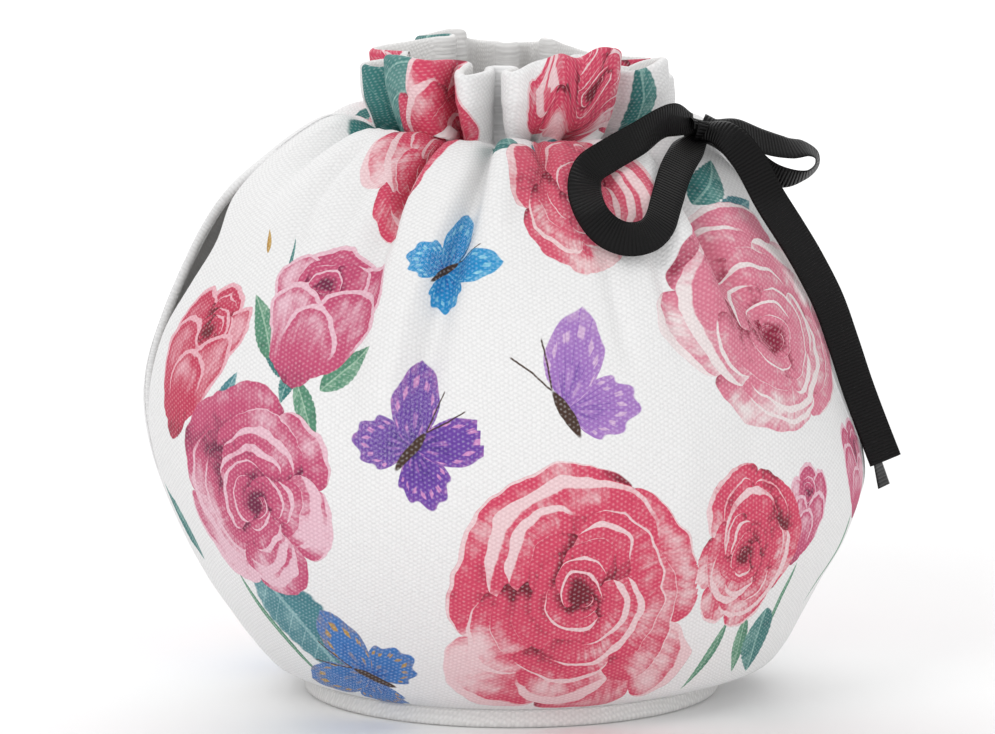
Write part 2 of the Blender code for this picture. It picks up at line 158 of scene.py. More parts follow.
def curve_through(values: Grid, at: Grid) -> Grid:
    """Read a Catmull-Rom curve through evenly spaced values.

    Args:
        values: the values at 0, 1, 2 and so on.
        at: the positions to read.

    Returns:
        The curve's value at each position.
    """
    values = np.asarray(values, float)
    padded = np.concatenate([[2 * values[0] - values[1]], values, [2 * values[-1] - values[-2]]])
    start = np.clip(np.floor(at).astype(int), 0, len(values) - 2)
    t = at - start
    before, here, there, after = (padded[start + shift] for shift in range(4))
    bend = 2 * before - 5 * here + 4 * there - after
    twist = 3 * (here - there) + after - before
    return here + 0.5 * t * (there - before + t * (bend + t * twist))


def lengths_along(points: Grid, axis: int) -> Grid:
    """Return the length of line from the first point to each point, along one axis of a grid."""
    steps = np.linalg.norm(np.diff(points, axis=axis), axis=-1)
    start = np.zeros_like(steps.take([0], axis=axis))
    return np.concatenate([start, np.cumsum(steps, axis=axis)], axis=axis)


def unit(vectors: Grid) -> Grid:
    """Return the vectors at a length of 1."""
    return vectors / np.linalg.norm(vectors, axis=-1, keepdims=True)


def leaned(dx: Any, dy: Any, lean_deg: float) -> tuple[Any, Any]:
    """Return arrays or fields of coordinates in a frame that leans to the left."""
    cosine = math.cos(math.radians(lean_deg))
    sine = math.sin(math.radians(lean_deg))
    return dx * cosine + dy * sine, dy * cosine - dx * sine


def section_column(column: str, rows: Grid) -> Grid:
    """Return one column of SECTIONS, read at fractional section numbers."""
    return curve_through([getattr(section, column) for section in SECTIONS], rows)


def crest_radius(rows: Grid, degrees: Grid) -> Grid:
    """Return the radius of the crests in mm at these rows and angles."""
    angle = np.radians(degrees)
    to_front = np.cos(angle)
    to_right = np.sin(angle)
    front_back = np.where(to_front > 0, section_column("front", rows), section_column("back", rows))
    right_left = np.where(to_right > 0, section_column("right", rows), section_column("left", rows))
    return front_back * to_front**2 + right_left * to_right**2


def below_neck(rows: Grid) -> Grid:
    """Return how far in mm below the neck each row lies along the front crest, or 0 above it."""
    steps = np.linspace(0.0, NECK_ROW, STEPS_PER_SECTION * NECK_ROW + 1)
    path = np.stack([section_column("front", steps), section_column("height", steps)], axis=-1)
    along = lengths_along(path, axis=0)
    return along[-1] - np.interp(np.minimum(rows, NECK_ROW), steps, along)


def towards_top(rows: Grid) -> Grid:
    """Return 0 at the neck and below, and 1 at the top edge."""
    return smooth_step((rows - NECK_ROW) / (TOP_ROW - NECK_ROW))


@dataclass
class Pleats:
    """Where the folds of one panel stand, and how deep they are.

    The cloth is measured in degrees of the body, from one side seam to the other. Between
    two valleys the position runs from 0 to 1. A side seam is a crest, at one half.
    """

    folds: list[Fold]
    start_deg: float
    end_deg: float
    first_crest: tuple[float, float]
    last_crest: tuple[float, float]
    roll_at_neck: float = 0.68
    valley_narrowing: float = 1.6
    drift_reach_mm: float = 55.0
    narrow_valley_mm: float = 40.0
    puff_below_mm: float = 10.0
    puff_reach_mm: float = 14.0
    heading_blend_rows: float = 1.25
    full_roll_at: float = 0.5

    def __post_init__(self) -> None:
        """Line up the valleys and the crests, seams included."""
        self.body, self.neck = (
            np.array([self.start_deg, *(getattr(fold, part) for fold in self.folds), self.end_deg], float)
            for part in ("body_deg", "neck_deg")
        )
        painted_groove_shade = [(fold.puff, fold.rise) for fold in self.folds[:-1]]
        self.crests = np.array([self.first_crest, *painted_groove_shade, self.last_crest], float)

    def place(self, cloth: Grid) -> tuple[Grid, Grid]:
        """Return the span number of each cloth position and the position within it."""
        last = len(self.folds)
        span = np.clip(np.searchsorted(self.body, cloth, side="right") - 1, 0, last)
        width = self.body[span + 1] - self.body[span]
        share = (cloth - self.body[span]) / width
        position = np.where(span == 0, 0.5 + 0.5 * share, share)
        position = np.where(span == last, 0.5 * share, position)
        return span, position

    def degrees(self, cloth: Grid, rows: Grid) -> Grid:
        """Return the angle at which each bit of cloth stands."""
        span, position = self.place(cloth)
        valley = np.clip(np.where(position < 0.5, span - 1, span), 0, len(self.folds) - 1)
        heading = np.array([fold.heading for fold in self.folds])[valley]
        folded = smooth_step(heading / self.full_roll_at)
        above = self.in_heading(rows)
        rolled = self.roll_at_neck * (1.0 - above * (1.0 - folded))
        roll = position - rolled * np.sin(2 * np.pi * position) / (2 * np.pi)
        half_span = (span == 0) | (span == len(self.folds))
        start = np.where(span == 0, 0.5, 0.0)
        share = np.where(half_span, 2.0 * (roll - start), roll)
        in_neck = self.neck[span] + share * (self.neck[span + 1] - self.neck[span])
        pull = np.exp(-((below_neck(rows) / self.drift_reach_mm) ** 2))
        return cloth + pull * (in_neck - cloth)

    def in_heading(self, rows: Grid) -> Grid:
        """Return 0 at the neck and below, and 1 once a row is well into the heading."""
        return smooth_step((rows - NECK_ROW) / self.heading_blend_rows)

    def depth(self, cloth: Grid, rows: Grid) -> Grid:
        """Return how far into its valley each bit of cloth is, from 0 to about 1."""
        span, position = self.place(cloth)
        wave = 0.5 + 0.5 * np.cos(2 * np.pi * position)
        below = below_neck(rows)
        above = self.in_heading(rows)
        body = smooth_step(below / self.narrow_valley_mm)
        wave = wave ** (1.0 + self.valley_narrowing * body)
        total = np.zeros(np.broadcast(cloth, rows).shape)
        for number, fold in enumerate(self.folds):
            left_side = (span == number) & (position >= 0.5)
            right_side = (span == number + 1) & (position < 0.5)
            fade = np.exp(-((below / fold.reach) ** 2))
            strength = fold.pinch * fade * (1.0 - above) + fold.heading * above
            total = total + np.where(left_side | right_side, wave * strength, 0.0)
        return total

    def lift(self, cloth: Grid, rows: Grid) -> Grid:
        """Return how much higher than the section each crest stands, in mm."""
        span, position = self.place(cloth)
        crest = np.sin(np.pi * position) ** 2
        puff = np.exp(-(((below_neck(rows) - self.puff_below_mm) / self.puff_reach_mm) ** 2))
        puff = puff * (rows < NECK_ROW)
        return crest * (self.crests[span, 0] * puff + self.crests[span, 1] * towards_top(rows))


# Nodes written as sums


class Board:
    """A material's node tree, on which fields are worked out."""

    def __init__(self, name: str) -> None:
        """Start a material with its output and shader."""
        self.material = bpy.data.materials.new(name)
        self.material.use_nodes = True
        self.tree = self.material.node_tree
        self.shader = self.tree.nodes["Principled BSDF"]

    def new(self, kind: str) -> bpy.types.Node:
        """Add a node of this kind."""
        return self.tree.nodes.new("ShaderNode" + kind)

    def put(self, socket: bpy.types.NodeSocket, value: object) -> None:
        """Link a field to a socket, or set a plain value on it."""
        if isinstance(value, Field):
            self.tree.links.new(value.socket, socket)
        else:
            socket.default_value = value

    def math(self, operation: str, *values: object) -> "Field":
        """Return the result of a math node."""
        node = self.new("Math")
        node.operation = operation
        for socket, value in zip(node.inputs, values):
            self.put(socket, value)
        return Field(self, node.outputs[0])

    def blend(self, start: object, end: object, share: object) -> "Field":
        """Return start where share is 0 and end where it is 1, for numbers."""
        node = self.new("Mix")
        self.put(node.inputs[0], share)
        self.put(node.inputs[2], start)
        self.put(node.inputs[3], end)
        return Field(self, node.outputs[0])

    def blend_colour(self, start: object, end: object, share: object, how: str = "MIX") -> "Field":
        """Return start where share is 0 and end where it is 1, for colours."""
        node = self.new("Mix")
        node.data_type = "RGBA"
        node.blend_type = how
        self.put(node.inputs[0], share)
        for socket, value in ((node.inputs[6], start), (node.inputs[7], end)):
            self.put(socket, value if isinstance(value, Field) else (*value, 1.0))
        return Field(self, node.outputs[2])

    def step(self, value: object, low: object, high: object) -> "Field":
        """Return a soft step from 0 at low to 1 at high. It falls where low is over high."""
        node = self.new("MapRange")
        node.interpolation_type = "SMOOTHSTEP"
        for socket, number in zip(node.inputs, (value, low, high)):
            self.put(socket, number)
        return Field(self, node.outputs[0])

    def band(self, value: "Field", middle: float, outer: float, inner: float) -> "Field":
        """Return 1 within inner of the middle value and 0 beyond outer of it."""
        return self.step(abs(value - middle), outer, inner)

    def vector(self, x: object, y: object, z: object = 0.0) -> "Field":
        """Return a vector made of three numbers."""
        node = self.new("CombineXYZ")
        for socket, number in zip(node.inputs, (x, y, z)):
            self.put(socket, number)
        return Field(self, node.outputs[0])

    def parts(self, vector: "Field") -> tuple["Field", "Field", "Field"]:
        """Return the three numbers of a vector."""
        node = self.new("SeparateXYZ")
        self.put(node.inputs[0], vector)
        return tuple(Field(self, socket) for socket in node.outputs)

    def length(self, x: object, y: object) -> "Field":
        """Return the distance from the origin."""
        node = self.new("VectorMath")
        node.operation = "LENGTH"
        self.put(node.inputs[0], self.vector(x, y))
        return Field(self, node.outputs[1])

    def angle(self, y: "Field", x: "Field") -> "Field":
        """Return the angle round the origin in radians, from the x axis."""
        return self.math("ARCTAN2", y, x)

    def noise(self, where: "Field", scale: float, detail: float = 2.0, rough: float = 0.5) -> "Field":
        """Return noise from 0 to 1, as a field whose colour output holds three of them."""
        node = self.new("TexNoise")
        self.put(node.inputs["Vector"], where)
        node.inputs["Scale"].default_value = scale
        node.inputs["Detail"].default_value = detail
        node.inputs["Roughness"].default_value = rough
        return Field(self, node.outputs[0], node.outputs[1])

    def attribute(self, name: str) -> "Field":
        """Return an attribute's vector, with its colour beside it."""
        node = self.new("Attribute")
        node.attribute_name = name
        return Field(self, node.outputs["Vector"], node.outputs["Color"])

    def uv(self, name: str) -> tuple["Field", "Field"]:
        """Return the two numbers of a UV map."""
        node = self.new("UVMap")
        node.uv_map = name
        return self.parts(Field(self, node.outputs[0]))[:2]

    def bump(self, height: "Field", strength: float, distance: float) -> None:
        """Raise the shader's surface by a height field."""
        node = self.new("Bump")
        node.inputs["Strength"].default_value = strength
        node.inputs["Distance"].default_value = distance
        self.put(node.inputs["Height"], height)
        self.tree.links.new(node.outputs[0], self.shader.inputs["Normal"])

    def finish(self, colour: "Field", roughness: object, sheen: float = 0.0) -> bpy.types.Material:
        """Set the shader's colour and roughness and return the material."""
        self.put(self.shader.inputs["Base Color"], colour)
        self.put(self.shader.inputs["Roughness"], roughness)
        self.shader.inputs["Sheen Weight"].default_value = sheen
        self.shader.inputs["Sheen Roughness"].default_value = 0.5
        return self.material


def sum_node(operation: str, swapped: bool = False) -> Callable[..., "Field"]:
    """Return a method that works a sum out with one math node.

    Args:
        operation: the node's operation.
        swapped: whether the field comes after the other number.

    Returns:
        The method, for the class Field.
    """

    def method(self: "Field", *others: object) -> "Field":
        """Return the sum's result."""
        values = (*others, self) if swapped else (self, *others)
        return self.board.math(operation, *values)

    return method


class Field:
    """A number or colour that changes over the surface: an output socket with sums."""

    __add__ = sum_node("ADD")
    __sub__ = sum_node("SUBTRACT")
    __rsub__ = sum_node("SUBTRACT", swapped=True)
    __mul__ = sum_node("MULTIPLY")
    __truediv__ = sum_node("DIVIDE")
    __pow__ = sum_node("POWER")
    __abs__ = sum_node("ABSOLUTE")
    sin = sum_node("SINE")
    floor = sum_node("FLOOR")
    fraction = sum_node("FRACT")
    at_least = sum_node("MAXIMUM")
    wrapped_at = sum_node("FLOORED_MODULO")

    def __init__(
        self,
        board: Board,
        socket: bpy.types.NodeSocket,
        colour_socket: bpy.types.NodeSocket | None = None,
    ) -> None:
        """Keep the board, the socket and the colour socket beside it."""
        self.board = board
        self.socket = socket
        self.colour_socket = colour_socket

    @property
    def colour(self) -> "Field":
        """The colour output that goes with this one."""
        return Field(self.board, self.colour_socket)


# The print


class Kind(Enum):
    """What a motif is. The value starts the names of its attributes."""

    ROSE = "rose"
    BUD = "bud"
    LEAF = "leaf"
    SEPAL = "sepal"
    BUTTERFLY = "butterfly"


class Inks(NamedTuple):
    """The three colours that a motif is painted with, from its shadows to its lights."""

    deep: Colour
    main: Colour
    light: Colour


def ink(hex_colour: str) -> Colour:
    """Return the linear colour of a screen colour such as "d04a6c"."""
    parts = [int(hex_colour[start : start + 2], 16) / 255 for start in (0, 2, 4)]
    return tuple(part / 12.92 if part < 0.04 else ((part + 0.055) / 1.055) ** 2.4 for part in parts)


def inks_of(*screen_colours: str) -> Inks:
    """Return the inks of three screen colours, the darkest first."""
    return Inks(*(ink(colour) for colour in screen_colours))


CORAL = inks_of("7a0e2a", "e54a6c", "ffdce0")
PINK = inks_of("7a1846", "d4557f", "f9cbda")
BLUSH = inks_of("8c1836", "e65a76", "ffdcde")
PALE = inks_of("96183e", "ea859e", "fff2f2")
CRIMSON = inks_of("740c26", "d43c5f", "fabcc8")
TEAL = inks_of("164a50", "38827f", "a3cfc6")
GREEN = inks_of("2c5547", "5c9a7c", "b7d9bf")
BLUE_TEAL = inks_of("2a5767", "4a8d97", "a5cfd2")
AZURE = inks_of("0f55ad", "1d9bdb", "93daf4")
VIOLET = inks_of("3f2a80", "7446b0", "e29ad4")
LILAC = inks_of("7b50b0", "b07fd0", "e2bfe6")
OCHRE = inks_of("8a6a2c", "c9993f", "e8cf8c")
CORNFLOWER = inks_of("1d4f9f", "3b7fcb", "c79d4c")


@dataclass
class Cloth:
    """The flat coordinates of a panel's cloth on its grid of points, in metres."""

    degrees: Grid
    across: Grid
    up: Grid


@dataclass(frozen=True)
class Motif:
    """One printed motif and where it lies on the flat cloth.

    deg is the cloth's angle round the body, up_mm the length of cloth from the hem, and
    turn_deg how far the motif leans to the left of upright. across_mm and along_mm are
    its size. seed varies the drawing.
    """

    kind: Kind
    deg: float
    up_mm: float
    across_mm: float
    along_mm: float
    turn_deg: float
    inks: Inks
    seed: float

    def local(self, cloth: Cloth) -> tuple[Grid, Grid]:
        """Return the motif's own coordinates at every point of the cloth."""
        here = np.array([np.interp(self.deg, cloth.degrees, row) for row in cloth.across])
        dx = (cloth.across - here[:, None]) / MM
        dy = cloth.up / MM - self.up_mm
        x, y = leaned(dx, dy, self.turn_deg)
        return x / self.across_mm, y / self.along_mm


# What follows draws each kind of motif in its own coordinates. A rose, a bud or a
# butterfly fills a unit square centred on the origin, and a leaf runs along y from 0 to 1.


class Drawing(NamedTuple):
    """A drawn motif: how light it is, from 0 to 1, and where there is ink."""

    tone: Field
    mask: Field


class Ring(NamedTuple):
    """One round of petals. radius and lip are shares of the rose's own radius."""

    radius: float
    petals: int
    turn: float
    dent: float
    low: float
    high: float
    lip: float


ROSE_RINGS = [
    Ring(1.00, 5, 0.10, 0.18, 0.30, 0.74, 0.070),
    Ring(0.83, 4, 0.62, 0.20, 0.20, 0.80, 0.110),
    Ring(0.67, 4, 0.27, 0.19, 0.12, 0.72, 0.080),
    Ring(0.52, 4, 0.80, 0.19, 0.06, 0.60, 0.062),
    Ring(0.39, 3, 0.40, 0.20, 0.00, 0.52, 0.046),
    Ring(0.27, 3, 0.95, 0.22, -0.05, 0.46, 0.034),
    Ring(0.17, 2, 0.15, 0.24, -0.15, 0.36, 0.024),
    Ring(0.09, 2, 0.60, 0.24, -0.30, 0.20, 0.014),
]
BUD_RINGS = [
    Ring(0.56, 3, 0.30, 0.20, 0.12, 0.66, 0.070),
    Ring(0.42, 3, 0.75, 0.20, 0.02, 0.56, 0.050),
    Ring(0.29, 2, 0.10, 0.22, -0.08, 0.48, 0.038),
    Ring(0.17, 2, 0.55, 0.22, -0.20, 0.30, 0.022),
]


def wobbled(
    board: Board, place: Field, seed_scale: float, scale: float, rough: float, reach: float
) -> tuple[Field, Field, Field, Field]:
    """Spread a motif's place to run from -1 to 1, with a hand's wobble.

    Args:
        board: the board to draw on.
        place: the motif's own x and y, with its seed as the third number.
        seed_scale: how fast the wobble changes with the seed.
        scale: the scale of its noise.
        rough: the roughness of its noise.
        reach: how far it moves a line.

    Returns:
        x, y, the seed and a wash of paint.
    """
    x, y, seed = board.parts(place)
    noise = board.noise(board.vector(x, y, seed * seed_scale), scale, detail=3.0, rough=rough)
    wobble_x, wobble_y, wash = board.parts(noise.colour)
    return x * 2.0 + (wobble_x - 0.5) * reach, y * 2.0 + (wobble_y - 0.5) * reach, seed, wash


def lay_petals(
    board: Board,
    where: tuple[Field, Field, Field],
    heart: tuple[object, object],
    rings: list[Ring],
    under: Drawing,
) -> Drawing:
    """Draw rounds of petals over a drawing, the outer rounds first.

    Args:
        board: the board to draw on.
        where: x, y and the seed.
        heart: the place that the inner rounds close in on.
        rings: the rounds.
        under: what is drawn already.

    Returns:
        The drawing with the petals on it.
    """
    x, y, seed = where
    tone, mask = under
    widest = rings[0].radius
    for number, ring in enumerate(rings):
        dx = x - heart[0] * (1.0 - ring.radius / widest)
        dy = y - heart[1] * (1.0 - ring.radius / widest)
        distance = board.length(dx, dy)
        angle = board.angle(dy, dx)
        # The spin counts petals round the ring, unevenly and along a slight spiral
        swing = (angle + seed * (1.1 + number)).sin() * (0.09 * ring.petals)
        spin = angle * (ring.petals / (2 * math.pi)) + swing + distance * (0.32 / ring.radius)
        spin = spin + seed * (0.37 + 0.21 * number) + ring.turn
        turn = spin.fraction()
        petal = spin.floor().wrapped_at(float(ring.petals))
        chance = (petal * 2.4 + seed * (number + 1.3)).sin()
        # Each petal bulges out to its own edge
        bulge = (turn * math.pi).sin().at_least(0.0) ** 0.5
        edge = (bulge * (chance * 0.25 + 1.0) * ring.dent + (1.0 - ring.dent)) * ring.radius
        inside = edge - distance
        shown = board.step(inside, 0.0, 0.012)
        # Its turned lip is pale, and wider at the end that lies over the next petal
        lean = board.step(turn, 0.1, 0.9) * 0.9 + 0.45
        lip = (chance * 0.7 + 0.62).at_least(0.12) * lean * bulge * ring.lip
        rim = board.step(inside, lip, lip * 0.75)
        below_lip = board.step(inside, lip + ring.radius * 0.10, lip) * (1.0 - rim)
        # It darkens towards its foot, below the lip and where it tucks under
        climb = board.step(inside, 0.30 * (0.3 + ring.radius), 0.0)
        tucked = board.step(turn, 0.30, 0.0)
        painted = climb * (ring.high - ring.low) + ring.low + chance * 0.16
        painted = painted - tucked * 0.45 - below_lip * 0.22
        painted = board.blend(painted, 1.15, rim * board.step(turn, 0.03, 0.26) * 0.9)
        tone = board.blend(tone, painted, shown)
        mask = mask.at_least(shown)
    return Drawing(tone, mask)


def draw_rose(board: Board, place: Field) -> Drawing:
    """Draw an open rose: rounds of petals whose lips are pale and whose feet are dark.

    Args:
        board: the board to draw on.
        place: the rose's own x and y, with its seed as the third number.

    Returns:
        The rose's tone and mask.
    """
    x, y, seed, wash = wobbled(board, place, seed_scale=3.7, scale=2.3, rough=0.58, reach=0.38)
    heart_x = (seed * 2.3).sin() * 0.16
    heart_y = (seed * 1.7).sin() * 0.14
    nothing = Drawing(wash * 0.0, wash * 0.0)
    tone, mask = lay_petals(board, (x, y, seed), (heart_x, heart_y), ROSE_RINGS, nothing)
    dx = x - heart_x
    dy = y - heart_y
    out = board.length(dx, dy)
    around = board.angle(dy, dx)
    # Brush marks run out from the heart, over broad patches of more and less paint
    streaks = board.noise(board.vector(around * 2.6, out * 1.1, seed), scale=5.0, detail=3.0, rough=0.65)
    brushed = board.noise(board.vector(x, y, seed), scale=4.0, detail=5.0, rough=0.7)
    patches = board.noise(board.vector(x, y, seed * 1.9), scale=1.5, detail=1.0)
    tone = tone + (patches - 0.5) * board.step(out, 0.25, 0.75) * 1.7 + (wash - 0.5) * 0.4
    tone = tone - board.step(out, 0.20, 0.02) * 0.45 - y * 0.10
    return Drawing(tone + (streaks - 0.5) * 0.80 + (brushed - 0.5) * 0.50 + 0.05, mask)


class Petal(NamedTuple):
    """One petal of a bud: an ellipse, with how light its foot and its rim are."""

    x: float
    y: float
    across: float
    along: float
    lean_deg: float
    low: float
    high: float


BUD_BACK = [
    Petal(0.04, 0.40, 0.62, 0.56, 0.0, 0.05, 0.60),
    Petal(-0.44, 0.26, 0.44, 0.60, 30.0, 0.18, 0.60),
    Petal(0.52, 0.24, 0.42, 0.52, -48.0, 0.22, 0.90),
]
BUD_FRONT = [
    Petal(-0.36, -0.20, 0.54, 0.70, 26.0, 0.20, 0.70),
    Petal(0.44, -0.22, 0.50, 0.60, -30.0, 0.25, 0.90),
    Petal(0.04, -0.46, 0.56, 0.54, 8.0, 0.12, 0.78),
]


def lay_wraps(
    board: Board, where: tuple[Field, Field], petals: list[Petal], under: Drawing
) -> Drawing:
    """Draw petals seen from the side over a drawing, each with a pale upper rim."""
    x, y = where
    tone, mask = under
    for petal in petals:
        side, climb = leaned(x - petal.x, y - petal.y, petal.lean_deg)
        side = side / petal.across
        climb = climb / petal.along
        reach = board.length(side, climb)
        shown = board.step(reach, 1.0, 0.97)
        # The rim is pale on the upper side only, with a soft shadow under it
        rim = board.step(reach, 0.86, 0.90) * board.step(climb, -0.2, 0.4)
        below_rim = board.step(reach, 0.6, 0.86) * (1.0 - rim) * board.step(climb, 0.0, 0.5)
        painted = board.step(climb, -1.0, 0.9) * (petal.high - petal.low) + petal.low
        painted = board.blend(painted - below_rim * 0.28, 1.12, rim * 0.9)
        tone = board.blend(tone, painted, shown)
        mask = mask.at_least(shown)
    return Drawing(tone, mask)


def draw_bud(board: Board, place: Field) -> Drawing:
    """Draw a half open rose from the side: petals that wrap a coiled heart.

    Args:
        board: the board to draw on.
        place: the bud's own x and y, with its seed as the third number.

    Returns:
        The bud's tone and mask.
    """
    x, y, seed, wash = wobbled(board, place, seed_scale=5.1, scale=2.6, rough=0.6, reach=0.34)
    # A seed whose fraction is under a half mirrors the bud, and the foot is drawn in
    x = x * board.step(seed.fraction(), 0.49, 0.51) * 2.0 - x
    x = x * ((y * -1.0).at_least(0.0) * 0.45 + 1.0)
    drawing = Drawing(wash * 0.0, wash * 0.0)
    drawing = lay_wraps(board, (x, y), BUD_BACK, drawing)
    heart = (x - 0.06, (y - 0.32) * 1.1, seed)
    drawing = lay_petals(board, heart, (0.05, 0.04), BUD_RINGS, drawing)
    tone, mask = lay_wraps(board, (x, y), BUD_FRONT, drawing)
    brushed = board.noise(board.vector(x * 2.2, y * 0.7, seed), scale=4.0, detail=5.0, rough=0.7)
    return Drawing(tone + (wash - 0.5) * 0.5 + (brushed - 0.5) * 0.9, mask)


def draw_leaf(board: Board, place: Field) -> Drawing:
    """Draw a leaf with a midrib, side veins and one half lighter than the other.

    Args:
        board: the board to draw on.
        place: x across the leaf and y along it, with its seed as the third number.

    Returns:
        The leaf's tone and mask.
    """
    x, y, seed = board.parts(place)
    # The midrib bows to a side that the seed picks, and small teeth edge the leaf
    bow = (y * math.pi).sin() * (seed * 2.1).sin() * 0.12
    side = x - bow
    apart = abs(side)
    swell = (y * math.pi).sin().at_least(0.0) ** 0.72
    teeth = (y * 70.0).sin() * 0.014
    edge = swell * (y * -0.38 + 0.66) + teeth * swell
    shown = board.step(edge - apart, 0.0, 0.05)
    shown = shown * board.step(y, 0.0, 0.01) * board.step(y, 1.0, 0.99)
    # One half is lighter, and slanting veins and the midrib are lighter still
    half = board.step(side, -0.05, 0.05)
    wash = board.noise(board.vector(x, y * 2.0, seed * 2.0), scale=3.0, detail=4.0, rough=0.65)
    veins = ((y - apart * 0.35) * 8.0 + seed).fraction()
    vein = board.step(veins, 0.10, 0.02) * 0.28
    rib = board.step(apart, 0.050, 0.015)
    painted = half * 0.30 + 0.25 + (wash - 0.5) * 0.9 + vein
    painted = board.blend(painted, 0.92, rib * 0.7)
    return Drawing(painted, shown)


class Wing(NamedTuple):
    """The outline of a wing round its root, in the butterfly's own lengths and in radians."""

    angle: float
    narrowness: float
    blunt: float
    length: float

    def reach(self, angle: Field) -> Field:
        """Return how far the wing reaches from its root at each angle."""
        inside = (1.0 - abs(angle - self.angle) * self.narrowness).at_least(0.0)
        return inside**self.blunt * self.length


FORE_WING = Wing(0.86, 1.18, 0.62, 1.16)
HIND_WING = Wing(-0.48, 0.98, 0.42, 0.84)


def draw_butterfly(board: Board, place: Field) -> tuple[Drawing, Field]:
    """Draw a butterfly from above: two pairs of wings, veins, spots and a thin body.

    Args:
        board: the board to draw on.
        place: the butterfly's own x and y, with its seed as the third number.

    Returns:
        The butterfly's tone and mask, and the mask of its body and feelers.
    """
    x, y, seed = board.parts(place)
    # A seed whose fraction is over 0.4 hides the left pair, as on folded wings
    folded = board.step(seed.fraction(), 0.3, 0.4)
    shown = board.step(x + (1.0 - folded), 0.0, 0.01)
    wobble = board.noise(board.vector(x, y, seed), scale=4.0, detail=3.0, rough=0.6)
    x = x * 2.0 + (wobble - 0.5) * 0.08
    y = y * 2.0
    apart = abs(x)
    root_y = y - 0.05
    distance = board.length(apart, root_y)
    angle = board.angle(root_y, apart)
    ripple = (angle * 19.0).sin() * 0.018
    fore = (FORE_WING.reach(angle) + ripple) * board.step(angle, 0.0, 0.05)
    hind = (HIND_WING.reach(angle) + ripple * 2.0) * board.step(angle, 0.62, 0.50)
    # The fore wings lie over the hind ones
    in_fore = board.step(fore - distance, 0.0, 0.03)
    in_hind = board.step(hind - distance, 0.0, 0.03)
    mask = in_fore.at_least(in_hind)
    edge = board.blend(hind, fore, in_fore)
    reach = distance / edge.at_least(0.05)
    veins = board.band((angle * 7.0 + 0.4).fraction(), 0.5, 0.09, 0.02)
    spots = board.band((angle * 5.5).fraction(), 0.5, 0.30, 0.18)
    spots = spots * board.band(reach, 0.76, 0.075, 0.035)
    near_root = board.band((angle * 2.6 + 0.2).fraction(), 0.5, 0.30, 0.15)
    near_root = near_root * board.band(reach, 0.30, 0.16, 0.06)
    wash = board.noise(board.vector(x, y, seed * 4.0), scale=5.0, detail=4.0, rough=0.7)
    tone = board.step(reach, 0.15, 1.05) * 0.50 + (wash - 0.5) * 0.9 + 0.10
    tone = tone - veins * 0.24 + spots * 0.45 + near_root * 0.50 - in_hind * (1.0 - in_fore) * 0.06
    # The body is a long ellipse, with a thin feeler at each side of the head
    body = board.step(board.length(x * 15.0, y * 3.2), 1.0, 0.85)
    feeler = board.step(abs(apart - (y - 0.3) * 0.36), 0.016, 0.005)
    feeler = feeler * board.step(y, 0.28, 0.32) * board.step(y, 0.86, 0.82)
    return Drawing(tone, mask * shown), body.at_least(feeler)


# The kinds that are drawn in the same way, the lowest layer first
PRINT_ORDER = {
    Kind.SEPAL: draw_leaf,
    Kind.LEAF: draw_leaf,
    Kind.BUD: draw_bud,
    Kind.ROSE: draw_rose,
}


@dataclass(frozen=True)
class Weave:
    """A plain weave of coarse threads, wider across than up."""

    across: float = 1.29 * MM
    up: float = 0.74 * MM
    drift: float = 1.1 * MM
    relief: float = 0.35 * MM
    relief_strength: float = 0.5
    sheen: float = 0.05

    def height(self, board: Board, across: Field, up: Field) -> Field:
        """Return the height of the threads, from 0 between them to about 1 on their tops.

        Args:
            board: the board to draw on.
            across: the place across the cloth, in metres.
            up: the place up the cloth, in metres.

        Returns:
            The height field.
        """
        loose = board.noise(board.vector(across, up), scale=150.0, detail=2.0)
        column = (across + (loose - 0.5) * self.drift) * (math.pi / self.across)
        row = (up + (loose - 0.5) * self.drift) * (math.pi / self.up)
        crossing = column.sin() * row.sin() * 0.36
        cords = (column * 2.0 + math.pi / 2).sin() * 0.12
        slubs = board.noise(board.vector(across, up * 0.4), scale=700.0, detail=3.0)
        fuzz = board.noise(board.vector(across, up), scale=1700.0, detail=2.0)
        return (crossing - cords + 0.46) * (slubs * 0.9 + 0.5) + (fuzz - 0.5) * 0.9

    def finish(self, board: Board, height: Field, colour: Field, rough: float) -> bpy.types.Material:
        """Raise the threads and return the material."""
        board.bump(height, self.relief_strength, self.relief)
        return board.finish(colour, rough, self.sheen)


@dataclass(frozen=True)
class PlainCanvas:
    """Unprinted canvas, as on the inside and the base."""

    name: str = "plain_canvas"
    colour: Colour = (0.84, 0.83, 0.82)
    weave: Weave = Weave()
    roughness: float = 0.9

    def material(self) -> bpy.types.Material:
        """Return the material. It reads the UV map named cloth."""
        board = Board(self.name)
        height = self.weave.height(board, *board.uv("cloth"))
        # Painted shade: the canvas colour darkens where the weave is low, in the gaps between threads
        colour = board.blend_colour(BLACK, self.colour, height * 0.22 + 0.82)
        return self.weave.finish(board, height, colour, self.roughness)


